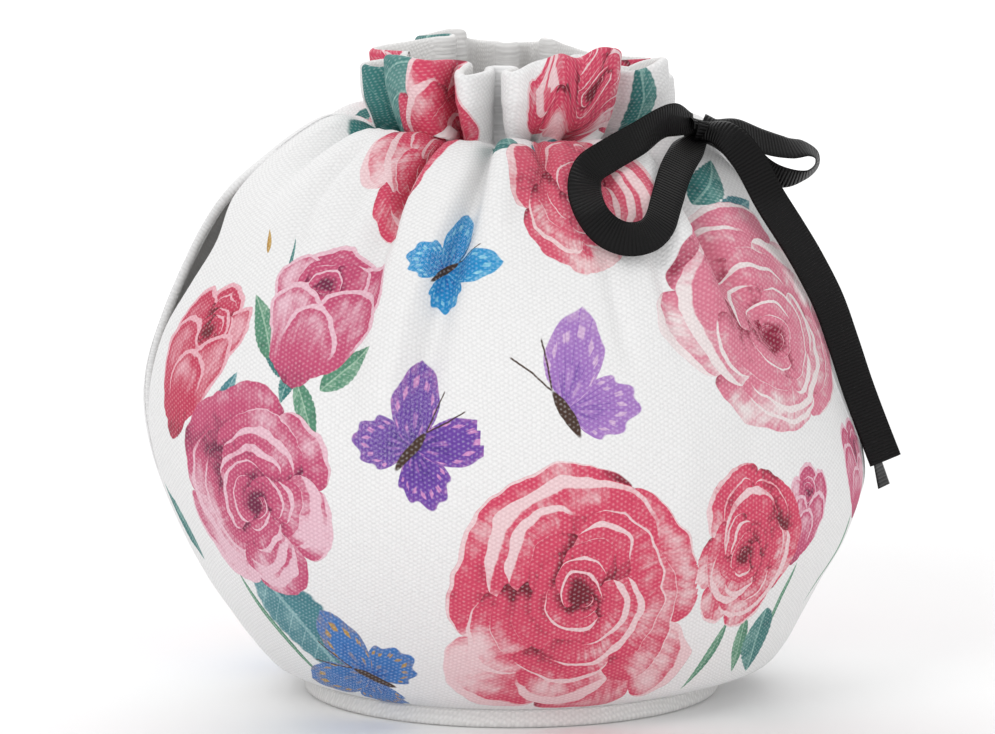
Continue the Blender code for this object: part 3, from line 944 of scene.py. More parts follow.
@dataclass(frozen=True)
class PrintedCanvas:
    """White canvas printed with roses, buds, leaves and butterflies."""

    name: str = "printed_canvas"
    cloth: Colour = (0.86, 0.856, 0.856)
    weave: Weave = Weave()
    roughness: float = 0.88
    deep_to_main: tuple[float, float] = (-0.22, 0.32)
    main_to_light: tuple[float, float] = (0.40, 0.98)
    body_ink: Colour = ink("4a3328")

    def inked(self, board: Board, ground: object, kind: str, drawing: Drawing) -> Field:
        """Paint a drawing over the ground in its own inks."""
        inks = [board.attribute(f"{kind}_{which}").colour for which in Inks._fields]
        low = board.blend_colour(inks[0], inks[1], board.step(drawing.tone, *self.deep_to_main))
        colour = board.blend_colour(low, inks[2], board.step(drawing.tone, *self.main_to_light))
        return board.blend_colour(ground, colour, drawing.mask)

    def material(self) -> bpy.types.Material:
        """Return the material. It reads the UV map and the attributes that a panel carries."""
        board = Board(self.name)
        across, up = board.uv("cloth")
        painted: object = WHITE
        for kind, draw in PRINT_ORDER.items():
            drawing = draw(board, board.attribute(kind.value + "_at"))
            painted = self.inked(board, painted, kind.value, drawing)
        wings, body = draw_butterfly(board, board.attribute("butterfly_at"))
        painted = self.inked(board, painted, "butterfly", wings)
        painted = board.blend_colour(painted, self.body_ink, body)
        height = self.weave.height(board, across, up)
        bare = board.step(height, 0.35, 1.15) * 0.24
        painted = board.blend_colour(painted, WHITE, bare)
        # Painted shade: the cloth under the print darkens where the weave is low, in the gaps between
        # threads
        ground = board.blend_colour(BLACK, self.cloth, height * 0.25 + 0.83)
        colour = board.blend_colour(ground, painted, 1.0, "MULTIPLY")
        return self.weave.finish(board, height, colour, self.roughness)


@dataclass(frozen=True)
class Grosgrain:
    """Black ribbon with ribs across it and plain edges."""

    name: str = "grosgrain"
    colour: Colour = (0.0036, 0.0033, 0.0035)
    # Painted shade: the darker colour laid in the grooves between the ribs
    painted_groove_shade: Colour = (0.001, 0.001, 0.001)
    rib: float = 1.1 * MM
    rib_drift: float = 0.12 * MM
    ribs_end: tuple[float, float] = (4.75 * MM, 4.35 * MM)
    relief: float = 0.32 * MM
    roughness: float = 0.42
    specular: float = 0.16

    def material(self) -> bpy.types.Material:
        """Return the material. It reads the UV map named ribbon."""
        board = Board(self.name)
        across, along = board.uv("ribbon")
        uneven = board.noise(board.vector(across * 0.2, along), scale=500.0, detail=3.0)
        rib = abs(((along + uneven * self.rib_drift) * (math.pi / self.rib)).sin())
        height = rib * board.step(abs(across), *self.ribs_end)
        # Painted shade: the colour darkens where the rib height is low, between the ribs and on the flat
        # edges; the noise adds an uneven tone
        shade = height * 0.75 + uneven * 0.3 + 0.25
        colour = board.blend_colour(self.painted_groove_shade, self.colour, shade)
        board.bump(height, 1.0, self.relief)
        board.shader.inputs["Specular IOR Level"].default_value = self.specular
        return board.finish(colour, self.roughness)


@dataclass(frozen=True)
class PaleFloor:
    """A plain pale floor."""

    name: str = "pale_floor"
    colour: Colour = (0.92, 0.92, 0.92)
    grain_colour: Colour = (0.93, 0.93, 0.93)
    roughness: float = 0.9

    def material(self) -> bpy.types.Material:
        """Return the floor's material."""
        board = Board(self.name)
        node = board.new("TexCoord")
        grain = board.noise(Field(board, node.outputs["Object"]), scale=3.0)
        colour = board.blend_colour(self.colour, self.grain_colour, grain)
        return board.finish(colour, self.roughness)


# The pieces


@dataclass(frozen=True)
class Crease:
    """A soft trough in the cloth, or a ridge where deep_mm is below 0.

    It runs between two places, each a cloth angle with a length of cloth from the hem in
    mm, the lower one first. steep is how much narrower its right side is than its left.
    A crease that opens a fold moves the fold's walls apart.
    """

    name: str
    low: tuple[float, float]
    high: tuple[float, float]
    wide_mm: float
    deep_mm: float
    steep: float = 1.0
    opens: bool = False
    fade_share: float = 0.3

    def depth(self, cloth: Cloth) -> Grid:
        """Return how deep the cloth lies in this crease at every point, in mm."""
        up = cloth.up / MM
        share = (up - self.low[1]) / (self.high[1] - self.low[1])
        degrees = self.low[0] + (self.high[0] - self.low[0]) * share
        middle = np.stack([np.interp(at, cloth.degrees, row) for at, row in zip(degrees, cloth.across)])
        aside = (cloth.across - middle) / MM / self.wide_mm
        aside = np.where(aside > 0, aside * self.steep, aside)
        fade = smooth_step(share / self.fade_share) * smooth_step((1.0 - share) / self.fade_share)
        return self.deep_mm * fade * np.exp(-(aside**2))


@dataclass
class Panel:
    """A printed panel with its half of the heading, thickened inwards, with turned hems."""

    name: str
    folds: list[Fold]
    start_deg: float
    end_deg: float
    first_crest: tuple[float, float]
    last_crest: tuple[float, float]
    gaps: tuple[str, str]
    motifs: list[Motif]
    creases: list[Crease]
    rim: list[tuple[float, float]]
    flat: tuple[float, float] = (0.33, 0.265)
    seam_gap_deg: float = 0.06
    pull_reach_deg: float = 50.0
    columns: int = 300
    rows: int = 142
    thickness: float = 2.4 * MM
    hem_swell: float = 0.7 * MM
    hem_width: float = 8.0 * MM
    top_hem_width: float = 9.6 * MM
    hem_fade: float = 2.0 * MM
    seam_fade: float = 6.0 * MM
    near_edge_deg: tuple[float, ...] = (0.0, 0.05, 0.15, 0.32, 0.6)
    near_hem_rows: tuple[float, ...] = (0.0, 0.012, 0.04, 0.08)
    body_unevenness: float = 0.35
    heading_unevenness: float = 0.45
    calm_neck_mm: float = 30.0
    calm_hem_mm: float = 25.0
    calm_heading_rows: float = 1.5
    gather_reach_mm: float = 10.0
    gather_mm: float = 0.4
    smooth_columns: int = 16
    seed: float = 0.0

    def __post_init__(self) -> None:
        """Work out the grid of points of the outer face and the cloth's own coordinates."""
        start = self.start_deg + self.seam_gap_deg
        end = self.end_deg - self.seam_gap_deg
        self.pleats = Pleats(self.folds, start, end, self.first_crest, self.last_crest)
        near_edge = np.array(self.near_edge_deg)
        cloth = np.linspace(start, end, self.columns + 1)[1:-1]
        cloth = np.concatenate([start + near_edge, cloth, end - near_edge[::-1]])
        near_hem = np.array(self.near_hem_rows)
        rows = np.linspace(0.0, TOP_ROW, self.rows + 1)[1:-1]
        rows = np.concatenate([near_hem, rows, TOP_ROW - near_hem[::-1]])
        self.cloth_deg = np.sort(cloth)
        self.row_at = np.sort(rows)
        self.outer = self.outer_points(self.cloth_deg[None, :], self.row_at[:, None])
        across = lengths_along(self.outer, axis=1)
        up = lengths_along(self.outer, axis=0)
        middle = np.argmin(abs(self.cloth_deg - (start + end) / 2))
        self.cloth = Cloth(self.cloth_deg, across - across[:, middle : middle + 1], up)
        self.from_side = np.minimum(across, across[:, -1:] - across)
        self.from_top = up[-1:] - up
        normal = self.normals(self.outer)
        outwards = self.outwards(normal)
        self.outer = self.outer + self.unevenness() * outwards + self.opening() * normal
        self.build_faces()

    def outer_points(self, cloth: Grid, rows: Grid) -> Grid:
        """Return the points of the outer face as the solid has them, in metres."""
        start = self.start_deg
        end = self.end_deg
        at_start = 1.0 - smooth_step((cloth - start) / self.pull_reach_deg)
        at_end = 1.0 - smooth_step((end - cloth) / self.pull_reach_deg)
        degrees = self.pleats.degrees(cloth, rows)
        degrees = degrees + at_start * np.maximum(section_column(self.gaps[0], rows), 0.0)
        degrees = degrees - at_end * np.maximum(section_column(self.gaps[1], rows), 0.0)
        depth = self.pleats.depth(cloth, rows)
        full_depth = section_column("fold_in", np.maximum(rows, NECK_ROW))
        radius = crest_radius(rows, degrees) - full_depth * depth
        height = section_column("height", rows) + self.pleats.lift(cloth, rows)
        height = height - section_column("fold_drop", rows) * depth + self.rim_lift(cloth, rows)
        angle = np.radians(degrees)
        points = [radius * np.sin(angle), -radius * np.cos(angle), height]
        return np.stack(points, axis=-1) * MM

    def rim_lift(self, cloth: Grid, rows: Grid) -> Grid:
        """Return how much higher than the solid the heading stands, in mm."""
        degrees, lifts = np.array(self.rim).T
        lift = curve_through(lifts, np.interp(cloth, degrees, np.arange(len(degrees))))
        return lift * towards_top(rows)

    @staticmethod
    def normals(points: Grid) -> Grid:
        """Return the outward direction at each point of a grid."""
        return unit(np.cross(np.gradient(points, axis=1), np.gradient(points, axis=0)))

    def unevenness(self) -> Grid:
        """Return how far the soft cloth stands out from the solid at each point."""
        x = self.cloth.across / MM + 40.0 * self.seed
        y = self.cloth.up / MM
        # Three slow waves in mm, two of them bent by a fourth and a fifth
        soft = np.sin(x / 17.0 + 1.3 * np.sin(y / 29.0) + self.seed)
        soft = soft + 0.8 * np.sin(y / 19.0 - 0.9 * np.sin(x / 23.0) + 2.0)
        soft = soft + 0.6 * np.sin((x + 0.7 * y) / 11.0 + 3.0 * self.seed)
        below = below_neck(self.row_at)[:, None]
        in_body = self.row_at[:, None] < NECK_ROW
        body = smooth_step(below / self.calm_neck_mm) * smooth_step(y / self.calm_hem_mm)
        heading = smooth_step((self.row_at[:, None] - NECK_ROW) / self.calm_heading_rows)
        soft = soft * (self.body_unevenness * body + self.heading_unevenness * heading)
        near_neck = np.exp(-((below / self.gather_reach_mm) ** 2)) * np.where(in_body, 1.0, 1.0 - heading)
        gathers = np.sin(x / 1.25 + 2.0 * np.sin(x / 7.3)) * self.gather_mm * near_neck
        total = soft + gathers
        for crease in self.creases:
            if not crease.opens:
                total = total - crease.depth(self.cloth)
        return (total * self.away_from_seams() * MM)[..., None]

    def opening(self) -> Grid:
        """Return how far the walls of the folds that are drawn open move, as below 0."""
        total = sum(crease.depth(self.cloth) for crease in self.creases if crease.opens)
        return (-total * self.away_from_seams() * MM)[..., None]

    def away_from_seams(self) -> Grid:
        """Return 0 at the side seams and the hem, and 1 a little away from them."""
        return smooth_step(self.from_side / self.seam_fade) * smooth_step(self.cloth.up / self.seam_fade)

    def outwards(self, normal: Grid) -> Grid:
        """Return the direction out of the cosy, smoothed over the folds of each row."""
        reach = self.smooth_columns
        weights = np.hanning(2 * reach + 1)[:, None, None]
        padded = np.pad(normal, ((0, 0), (reach, reach), (0, 0)), mode="edge")
        columns = normal.shape[1]
        return unit(sum(weight * padded[:, at : at + columns] for at, weight in enumerate(weights)))

    def build_faces(self) -> None:
        """Work out the two faces of the cloth, which meet in a round edge."""
        normal = self.normals(self.outer)
        swell = np.maximum(
            1.0 - smooth_step((self.from_side - self.hem_width) / self.hem_fade),
            1.0 - smooth_step((self.from_top - self.top_hem_width) / self.hem_fade),
        )
        half = self.thickness / 2 + swell * self.hem_swell / 2
        edge = np.ones_like(half)
        for distance in (self.from_side, self.from_top, self.cloth.up):
            share = np.clip(distance / half, 0.0, 1.0)
            edge = edge * np.sqrt(np.clip(1.0 - (1.0 - share) ** 2, 0.0, 1.0))
        middle = self.outer - normal * self.thickness / 2
        self.face = middle + normal * (half * edge)[..., None]
        self.back = middle - normal * (half * edge)[..., None]

    def build(self, printed: bpy.types.Material, plain: bpy.types.Material) -> bpy.types.Object:
        """Make the panel's object.

        Args:
            printed: the material of the outer face.
            plain: the material of the inner face.

        Returns:
            The panel, riding on the root and standing for its solid.
        """
        rows, columns = self.face.shape[:2]
        count = rows * columns
        front = np.arange(count).reshape(rows, columns)
        behind = front.copy()
        behind[1:-1, 1:-1] = count + np.arange((rows - 2) * (columns - 2)).reshape(rows - 2, -1)
        corners = [(slice(0, -1), slice(0, -1)), (slice(0, -1), slice(1, None))]
        corners += [(slice(1, None), slice(1, None)), (slice(1, None), slice(0, -1))]
        outside = np.stack([front[c] for c in corners], axis=-1).reshape(-1, 4)
        inside = np.stack([behind[c] for c in corners[::-1]], axis=-1).reshape(-1, 4)
        points = np.concatenate([self.face.reshape(-1, 3), self.back[1:-1, 1:-1].reshape(-1, 3)])
        faces = np.concatenate([outside, inside]).tolist()
        obj = add_mesh(self.name + "_cloth", points, faces, printed)
        mesh = obj.data
        mesh.materials.append(plain)
        which = np.concatenate([np.zeros(len(outside), int), np.ones(len(inside), int)])
        mesh.polygons.foreach_set("material_index", which)
        flat = np.stack([self.cloth.across, self.cloth.up], axis=-1)
        at_corners = [np.stack([flat[c] for c in order], axis=-2) for order in (corners, corners[::-1])]
        uv = mesh.uv_layers.new(name="cloth")
        uv.data.foreach_set("uv", np.concatenate([part.ravel() for part in at_corners]))
        for kind in Kind:
            self.lay_motifs(mesh, kind, corners)
        mesh.update()
        return dress(obj, self.name)

    def lay_motifs(self, mesh: bpy.types.Mesh, kind: Kind, corners: list) -> None:
        """Give each face the place and the inks of the nearest motif of one kind."""
        motifs = [motif for motif in self.motifs if motif.kind is kind]
        cells = (self.face.shape[0] - 1, self.face.shape[1] - 1)
        place = np.full((*cells, 4, 3), FAR_OFF)
        nearest = np.full(cells, np.inf)
        inks = np.ones((3, *cells, 4))
        for motif in motifs:
            x, y = motif.local(self.cloth)
            centre_y = 0.5 if kind in (Kind.LEAF, Kind.SEPAL) else 0.0
            reach = np.hypot(x, y - centre_y)
            at_corners = np.stack([np.stack([x[c], y[c]], axis=-1) for c in corners], axis=-2)
            here = np.stack([reach[c] for c in corners]).mean(axis=0)
            chosen = here < nearest
            nearest = np.where(chosen, here, nearest)
            place[chosen, :, :2] = at_corners[chosen]
            place[chosen, :, 2] = motif.seed
            for layer, colour in zip(inks, motif.inks):
                layer[chosen, :3] = colour
        unprinted = np.full(place.shape, FAR_OFF)
        values = np.concatenate([place, unprinted]).astype(np.float32)
        at = mesh.attributes.new(kind.value + "_at", "FLOAT_VECTOR", "CORNER")
        at.data.foreach_set("vector", values.ravel())
        for layer, which in zip(inks, Inks._fields):
            colour = mesh.attributes.new(f"{kind.value}_{which}", "FLOAT_COLOR", "FACE")
            colour.data.foreach_set("color", np.concatenate([layer, layer]).astype(np.float32).ravel())


def dress(obj: bpy.types.Object, node: str) -> bpy.types.Object:
    """Let a piece ride on the root, in place of its node's solid."""
    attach(obj, "root")
    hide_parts(node)
    log.info("%s: %d faces", obj.name, len(obj.data.polygons))
    return obj


def add_mesh(name: str, points: Grid, faces: list, material: bpy.types.Material) -> bpy.types.Object:
    """Make a smooth object from points and faces, linked to the scene."""
    mesh = bpy.data.meshes.new(name)
    mesh.from_pydata(np.asarray(points).reshape(-1, 3).tolist(), [], faces)
    mesh.shade_smooth()
    mesh.materials.append(material)
    obj = bpy.data.objects.new(name, mesh)
    bpy.context.scene.collection.objects.link(obj)
    return obj


def ring_faces(rings: int, count: int) -> list[tuple[int, ...]]:
    """Return the faces between each closed ring of count points and the next ring."""
    corners = [(corner, (corner + 1) % count) for corner in range(count)]
    return [
        (low + here, low + count + here, low + count + there, low + there)
        for low in range(0, (rings - 1) * count, count)
        for here, there in corners
    ]


def turn_outwards(mesh: bpy.types.Mesh, merge: float = 0.0) -> None:
    """Turn a mesh's faces outwards, after joining the points that are closer than merge."""
    shape = bmesh.new()
    shape.from_mesh(mesh)
    if merge:
        bmesh.ops.remove_doubles(shape, verts=shape.verts, dist=merge)
    bmesh.ops.recalc_face_normals(shape, faces=shape.faces)
    shape.to_mesh(mesh)
    shape.free()


def arc(middle: tuple[float, float], radius: float, angles: list[float]) -> list[tuple[float, float]]:
    """Return points of an arc, at angles in half turns from level outwards."""
    across, up = middle
    return [(across + radius * math.cos(math.pi * a), up + radius * math.sin(math.pi * a)) for a in angles]


@dataclass
class Base:
    """The padded round base, soft in its faces, with a rolled seam where it meets the wall."""

    radius: float = 63.5 * MM
    thickness: float = 5.0 * MM
    sides: int = 180
    edge_steps: int = 10
    dish: float = 0.5 * MM
    seam_radius: float = 0.9 * MM
    seam_height: float = 5.1 * MM
    seam_inset: float = 0.3 * MM

    def profile(self) -> list[tuple[float, float]]:
        """Return the half outline from the middle of the underside to the middle of the top."""
        rounding = self.thickness / 2
        flat = self.radius - rounding
        steps = self.edge_steps
        under = [(flat * share, 0.0) for share in (0.0, 0.02, 0.3, 0.6, 0.85, 0.95)]
        wall = arc((flat, rounding), rounding, [0.55 * step / steps - 0.5 for step in range(steps)])
        seam_at = (self.radius - self.seam_inset, self.seam_height)
        seam = arc(seam_at, self.seam_radius, [1.15 * step / steps - 0.3 for step in range(steps + 1)])
        top = [
            (flat * share, self.thickness - self.dish * (1 - share**4))
            for share in (0.95, 0.8, 0.5, 0.2, 0.0)
        ]
        return under + wall + seam + top

    def build(self, material: bpy.types.Material) -> bpy.types.Object:
        """Make the base's object, which stands for its solid."""
        outline = self.profile()
        angles = [2 * math.pi * number / self.sides for number in range(self.sides)]
        points = [[(r * math.cos(a), r * math.sin(a), z) for a in angles] for r, z in outline]
        obj = add_mesh("base_pad", points, ring_faces(len(outline), self.sides), material)
        mesh = obj.data
        turn_outwards(mesh, merge=0.01 * MM)
        uv = mesh.uv_layers.new(name="cloth")
        for loop in mesh.loops:
            place = mesh.vertices[loop.vertex_index].co
            uv.data[loop.index].uv = (place.x, place.y + place.z)
        return dress(obj, "base")


class RibbonPoint(NamedTuple):
    """A point on a ribbon's middle line in mm, with the direction across the ribbon there."""

    x: float
    y: float
    z: float
    across_x: float
    across_y: float
    across_z: float


LEFT_LOOP = [
    RibbonPoint(49.5, -38.0, 177.3, -0.8, 1.2, 2.5),
    RibbonPoint(39.0, -48.0, 179.5, 1.0, 0.6, 5.0),
    RibbonPoint(28.0, -58.5, 175.5, -0.4, 1.2, 5.0),
    RibbonPoint(18.5, -64.0, 171.5, -0.8, 1.4, 4.8),
    RibbonPoint(12.0, -68.0, 168.0, -2.4, 2.0, 3.8),
    RibbonPoint(9.5, -74.5, 163.0, -3.4, 2.6, 1.2),
    RibbonPoint(10.5, -81.0, 157.0, -3.8, 1.9, -1.8),
    RibbonPoint(14.5, -84.0, 152.0, -2.5, 0.4, -3.6),
    RibbonPoint(20.5, -84.5, 149.5, -0.3, -0.4, -4.4),
    RibbonPoint(27.0, -82.0, 150.0, 2.0, -0.8, -3.8),
    RibbonPoint(31.5, -77.0, 153.0, 3.6, -0.3, -2.4),
    RibbonPoint(35.0, -69.0, 158.5, 4.4, 0.0, -2.0),
    RibbonPoint(39.5, -58.5, 165.5, 4.6, -0.6, -2.0),
    RibbonPoint(45.0, -48.0, 170.5, 4.4, -1.0, -1.8),
    RibbonPoint(50.0, -39.0, 173.2, 2.8, -1.2, -0.8),
]
RIGHT_LOOP = [
    RibbonPoint(51.5, -36.5, 177.3, 0.2, 1.6, 2.5),
    RibbonPoint(56.0, -37.5, 175.5, 0.0, 3.4, 3.6),
    RibbonPoint(63.5, -35.5, 174.0, 0.0, 3.6, 3.6),
    RibbonPoint(71.5, -32.5, 170.5, 0.2, 3.5, 3.3),
    RibbonPoint(79.0, -30.5, 168.5, 0.6, 4.2, 2.6),
    RibbonPoint(84.5, -29.0, 168.0, 0.6, 4.6, 1.6),
    RibbonPoint(88.0, -28.5, 165.8, 1.4, 4.7, 0.4),
    RibbonPoint(88.0, -28.5, 162.4, 1.5, 4.6, -0.8),
    RibbonPoint(84.5, -28.5, 159.6, 0.9, 4.4, -2.0),
    RibbonPoint(78.5, -29.0, 159.0, 0.0, 3.6, -3.4),
    RibbonPoint(70.5, -29.5, 162.0, -1.5, 2.8, -3.8),
    RibbonPoint(61.0, -33.0, 170.8, -2.0, 2.2, -3.0),
    RibbonPoint(51.5, -37.0, 174.0, -1.0, 1.4, -1.8),
]
FRONT_TAIL = [
    RibbonPoint(51.0, -38.5, 175.0, 1.8, 0.4, 3.1),
    RibbonPoint(57.0, -45.5, 174.5, 3.3, 1.0, 3.6),
    RibbonPoint(63.0, -50.5, 167.5, 4.5, 0.5, 2.8),
    RibbonPoint(69.0, -53.5, 156.0, 4.7, 0.2, 1.6),
    RibbonPoint(76.0, -50.5, 145.5, 4.7, 0.4, 2.0),
    RibbonPoint(82.5, -46.0, 135.5, 4.6, 0.4, 2.0),
    RibbonPoint(89.5, -41.0, 123.0, 4.6, 0.4, 1.8),
    RibbonPoint(95.0, -37.0, 109.5, 4.7, 0.4, 1.6),
    RibbonPoint(100.0, -34.0, 96.0, 4.7, 0.2, 1.7),
    RibbonPoint(105.0, -32.0, 83.5, 4.7, -0.1, 1.9),
    RibbonPoint(109.5, -31.0, 72.5, 4.6, -0.4, 2.1),
]
BACK_TAIL = [
    RibbonPoint(51.5, -36.0, 175.0, -1.0, 2.6, 0.2),
    RibbonPoint(62.5, -31.0, 171.5, -0.6, 4.8, 0.8),
    RibbonPoint(73.0, -25.5, 160.5, -0.4, 4.8, 1.0),
    RibbonPoint(81.5, -19.5, 148.5, 0.0, 4.9, 0.6),
    RibbonPoint(89.0, -17.0, 138.0, 0.4, 4.9, 0.2),
    RibbonPoint(94.5, -16.0, 127.0, 0.8, 4.9, 0.0),
    RibbonPoint(98.0, -16.5, 115.0, 0.9, 4.9, -0.2),
    RibbonPoint(101.0, -17.0, 102.5, 0.8, 4.9, -0.4),
    RibbonPoint(104.0, -18.5, 90.0, 1.1, 4.9, -0.5),
    RibbonPoint(107.5, -20.0, 77.0, 1.7, 4.5, -0.4),
    RibbonPoint(111.0, -22.0, 63.0, 2.6, 4.0, 0.0),
]


@dataclass
class Bow:
    """The black ribbon's bow: a wrapped knot, two loops and two tails."""

    width: float = 10.0 * MM
    thickness: float = 0.55 * MM
    gather: float = 0.6
    gather_reach: float = 14.0 * MM
    cup: float = 1.1 * MM
    cup_reach: float = 18.2 * MM
    edge_power: int = 8
    sharp_deg: float = 70.0
    steps: int = 14
    across_steps: int = 10
    knot_centre_mm: tuple[float, float, float] = (50.8, -37.6, 175.1)
    knot_axis: tuple[float, float, float] = (0.93, 0.30, -0.20)
    knot_turns: float = 1.12
    knot_radii: tuple[float, float] = (3.7 * MM, 4.5 * MM)
    knot_squash: tuple[float, float] = (0.95, 0.85)
    knot_drift: float = 0.5 * MM
    knot_share: float = 0.74
    knot_cup: float = 0.5 * MM
    knot_steps: int = 64

    def strip(self, name: str, route: list[RibbonPoint], material: bpy.types.Material) -> bpy.types.Object:
        """Make one run of ribbon along a route, drawn in and cupped near the knot."""
        at = np.linspace(0.0, len(route) - 1, self.steps * (len(route) - 1) + 1)
        columns = [curve_through([point[axis] for point in route], at) for axis in range(6)]
        middle = np.stack(columns[:3], axis=-1) * MM
        across = np.stack(columns[3:], axis=-1)
        from_knot = np.linalg.norm(middle - np.array(self.knot_centre_mm) * MM, axis=1)
        share = self.gather + (1.0 - self.gather) * smooth_step(from_knot / self.gather_reach)
        cup = self.cup * (1.0 - smooth_step(from_knot / self.cup_reach))
        return self.ribbon(name, middle, across, share, cup, material)

    def ribbon(
        self,
        name: str,
        middle: Grid,
        across: Grid,
        share: Grid,
        cup: Grid,
        material: bpy.types.Material,
    ) -> bpy.types.Object:
        """Make a ribbon of round-edged section along a line of points.

        Args:
            name: the object's name.
            middle: the points of the middle line.
            across: the direction across the ribbon at each point.
            share: the share of its full width that it has at each point.
            cup: how far its middle stands out from its edges at each point.
            material: its material.

        Returns:
            The ribbon's object.
        """
        along = np.gradient(middle, axis=0)
        facing = unit(np.cross(along, across))
        across = unit(np.cross(facing, along))
        length = lengths_along(middle, axis=0)
        places = np.linspace(-1.0, 1.0, self.across_steps + 1)
        skin = self.thickness / 2 * np.sqrt(np.clip(1.0 - places**self.edge_power, 0.0, 1.0))
        section = list(zip(places, skin))
        section += [(place, -thick) for place, thick in section[-2:0:-1]]
        rings = []
        for place, thick in section:
            bowed = cup * (1.0 - place**2) + thick
            side = across * (place * share * self.width / 2)[:, None]
            rings.append(middle + side + facing * bowed[:, None])
        count = len(section)
        last = (len(middle) - 1) * count
        ends = [tuple(range(count)), tuple(range(last + count - 1, last - 1, -1))]
        faces = ends + ring_faces(len(middle), count)
        obj = add_mesh(name, np.stack(rings, axis=1), faces, material)
        mesh = obj.data
        turn_outwards(mesh)
        uv = mesh.uv_layers.new(name="ribbon")
        for loop in mesh.loops:
            step, corner = divmod(loop.vertex_index, count)
            uv.data[loop.index].uv = (section[corner][0] * self.width / 2, length[step])
        mesh.shade_smooth()
        mesh.set_sharp_from_angle(angle=math.radians(self.sharp_deg))
        real_length = float(length[-1])
        log.info("%s is %.0f mm long", name, real_length / MM)
        return dress(obj, "ribbon_bow")

    def knot(self, material: bpy.types.Material) -> bpy.types.Object:
        """Make the turn of ribbon that wraps the middle of the bow."""
        count = self.knot_steps
        turns = np.linspace(0.0, 2 * math.pi * self.knot_turns, count)[:, None]
        radius = np.linspace(*self.knot_radii, count)[:, None]
        axis = unit(np.array(self.knot_axis))
        outward = unit(np.cross(axis, [0.0, 0.0, 1.0]))
        upward = np.cross(outward, axis)
        wide, high = self.knot_squash
        circle = (np.cos(turns) * outward * wide + np.sin(turns) * upward * high) * radius
        drift = np.linspace(-self.knot_drift, self.knot_drift, count)[:, None] * axis
        middle = np.array(self.knot_centre_mm) * MM + circle + drift
        across = np.repeat(axis[None, :], count, axis=0)
        share = np.full(count, self.knot_share)
        cup = np.full(count, self.knot_cup)
        return self.ribbon("ribbon_knot", middle, across, share, cup, material)

    def build(self, material: bpy.types.Material) -> None:
        """Make the whole bow."""
        routes = {
            "ribbon_left_loop": LEFT_LOOP,
            "ribbon_right_loop": RIGHT_LOOP,
            "ribbon_front_tail": FRONT_TAIL,
            "ribbon_back_tail": BACK_TAIL,
        }
        for name, route in routes.items():
            self.strip(name, route, material)
        self.knot(material)


@dataclass
class Studio:
    """The camera at the photo's angle, a pale floor and soft lights."""

    azimuth_deg: float = -9.0
    elevation_deg: float = 9.0
    distance: float = 2.2
    lens_mm: float = 262.0
    aim_height: float = 99.0 * MM
    aim_left: float = 4.4 * MM
    sensor_mm: float = 36.0
    far_end: float = 50.0
    floor_size: float = 12.0
    sky_strength: float = 0.74

    def camera(self) -> None:
        """Place the camera."""
        azimuth = math.radians(self.azimuth_deg)
        elevation = math.radians(self.elevation_deg)
        right = Vector((math.cos(azimuth), math.sin(azimuth), 0.0))
        level = math.cos(elevation)
        back = Vector((math.sin(azimuth) * level, -math.cos(azimuth) * level, math.sin(elevation)))
        aim = Vector((0.0, 0.0, self.aim_height)) - right * self.aim_left
        data = bpy.data.cameras.new("camera")
        data.lens = self.lens_mm
        data.sensor_width = self.sensor_mm
        data.clip_end = self.far_end
        camera = bpy.data.objects.new("camera", data)
        camera.location = aim + back * self.distance
        camera.rotation_mode = "QUATERNION"
        camera.rotation_quaternion = (-back).to_track_quat("-Z", "Y")
        bpy.context.scene.collection.objects.link(camera)
        bpy.context.scene.camera = camera

    def light(
        self,
        name: str,
        place: tuple[float, float, float],
        size: float,
        power: float,
        target: tuple[float, float, float] = (0.0, 0.0, 0.1),
    ) -> None:
        """Add a soft area light that faces the cosy, or another target."""
        data = bpy.data.lights.new(name, "AREA")
        data.size = size
        data.energy = power
        lamp = bpy.data.objects.new(name, data)
        lamp.location = Vector(place)
        lamp.rotation_mode = "QUATERNION"
        towards = Vector(target) - lamp.location
        lamp.rotation_quaternion = towards.to_track_quat("-Z", "Y")
        bpy.context.scene.collection.objects.link(lamp)

    def floor(self) -> None:
        """Lay the floor."""
        bpy.ops.object.select_all(action="DESELECT")
        bpy.ops.mesh.primitive_plane_add(size=self.floor_size, location=(0.0, 0.0, 0.0))
        floor = bpy.context.object
        floor.name = "floor"
        floor.data.materials.append(PaleFloor().material())

    def build(self) -> None:
        """Set up the whole studio."""
        self.camera()
        self.floor()
        self.light("key", (-0.9, -1.1, 1.1), size=0.7, power=6.0)
        self.light("fill", (1.3, -1.0, 0.5), size=1.2, power=2.0)
        self.light("low front", (-0.1, -1.8, 0.25), size=1.4, power=4.0)
        self.light("far floor", (0.0, 2.6, 2.2), size=3.0, power=60.0, target=(0.0, 2.6, 0.0))
        world = bpy.data.worlds.new("studio")
        world.use_nodes = True
        sky = world.node_tree.nodes["Background"]
        sky.inputs["Color"].default_value = (*WHITE, 1.0)
        sky.inputs["Strength"].default_value = self.sky_strength
        bpy.context.scene.world = world
        bpy.context.scene.view_settings.view_transform = "Standard"


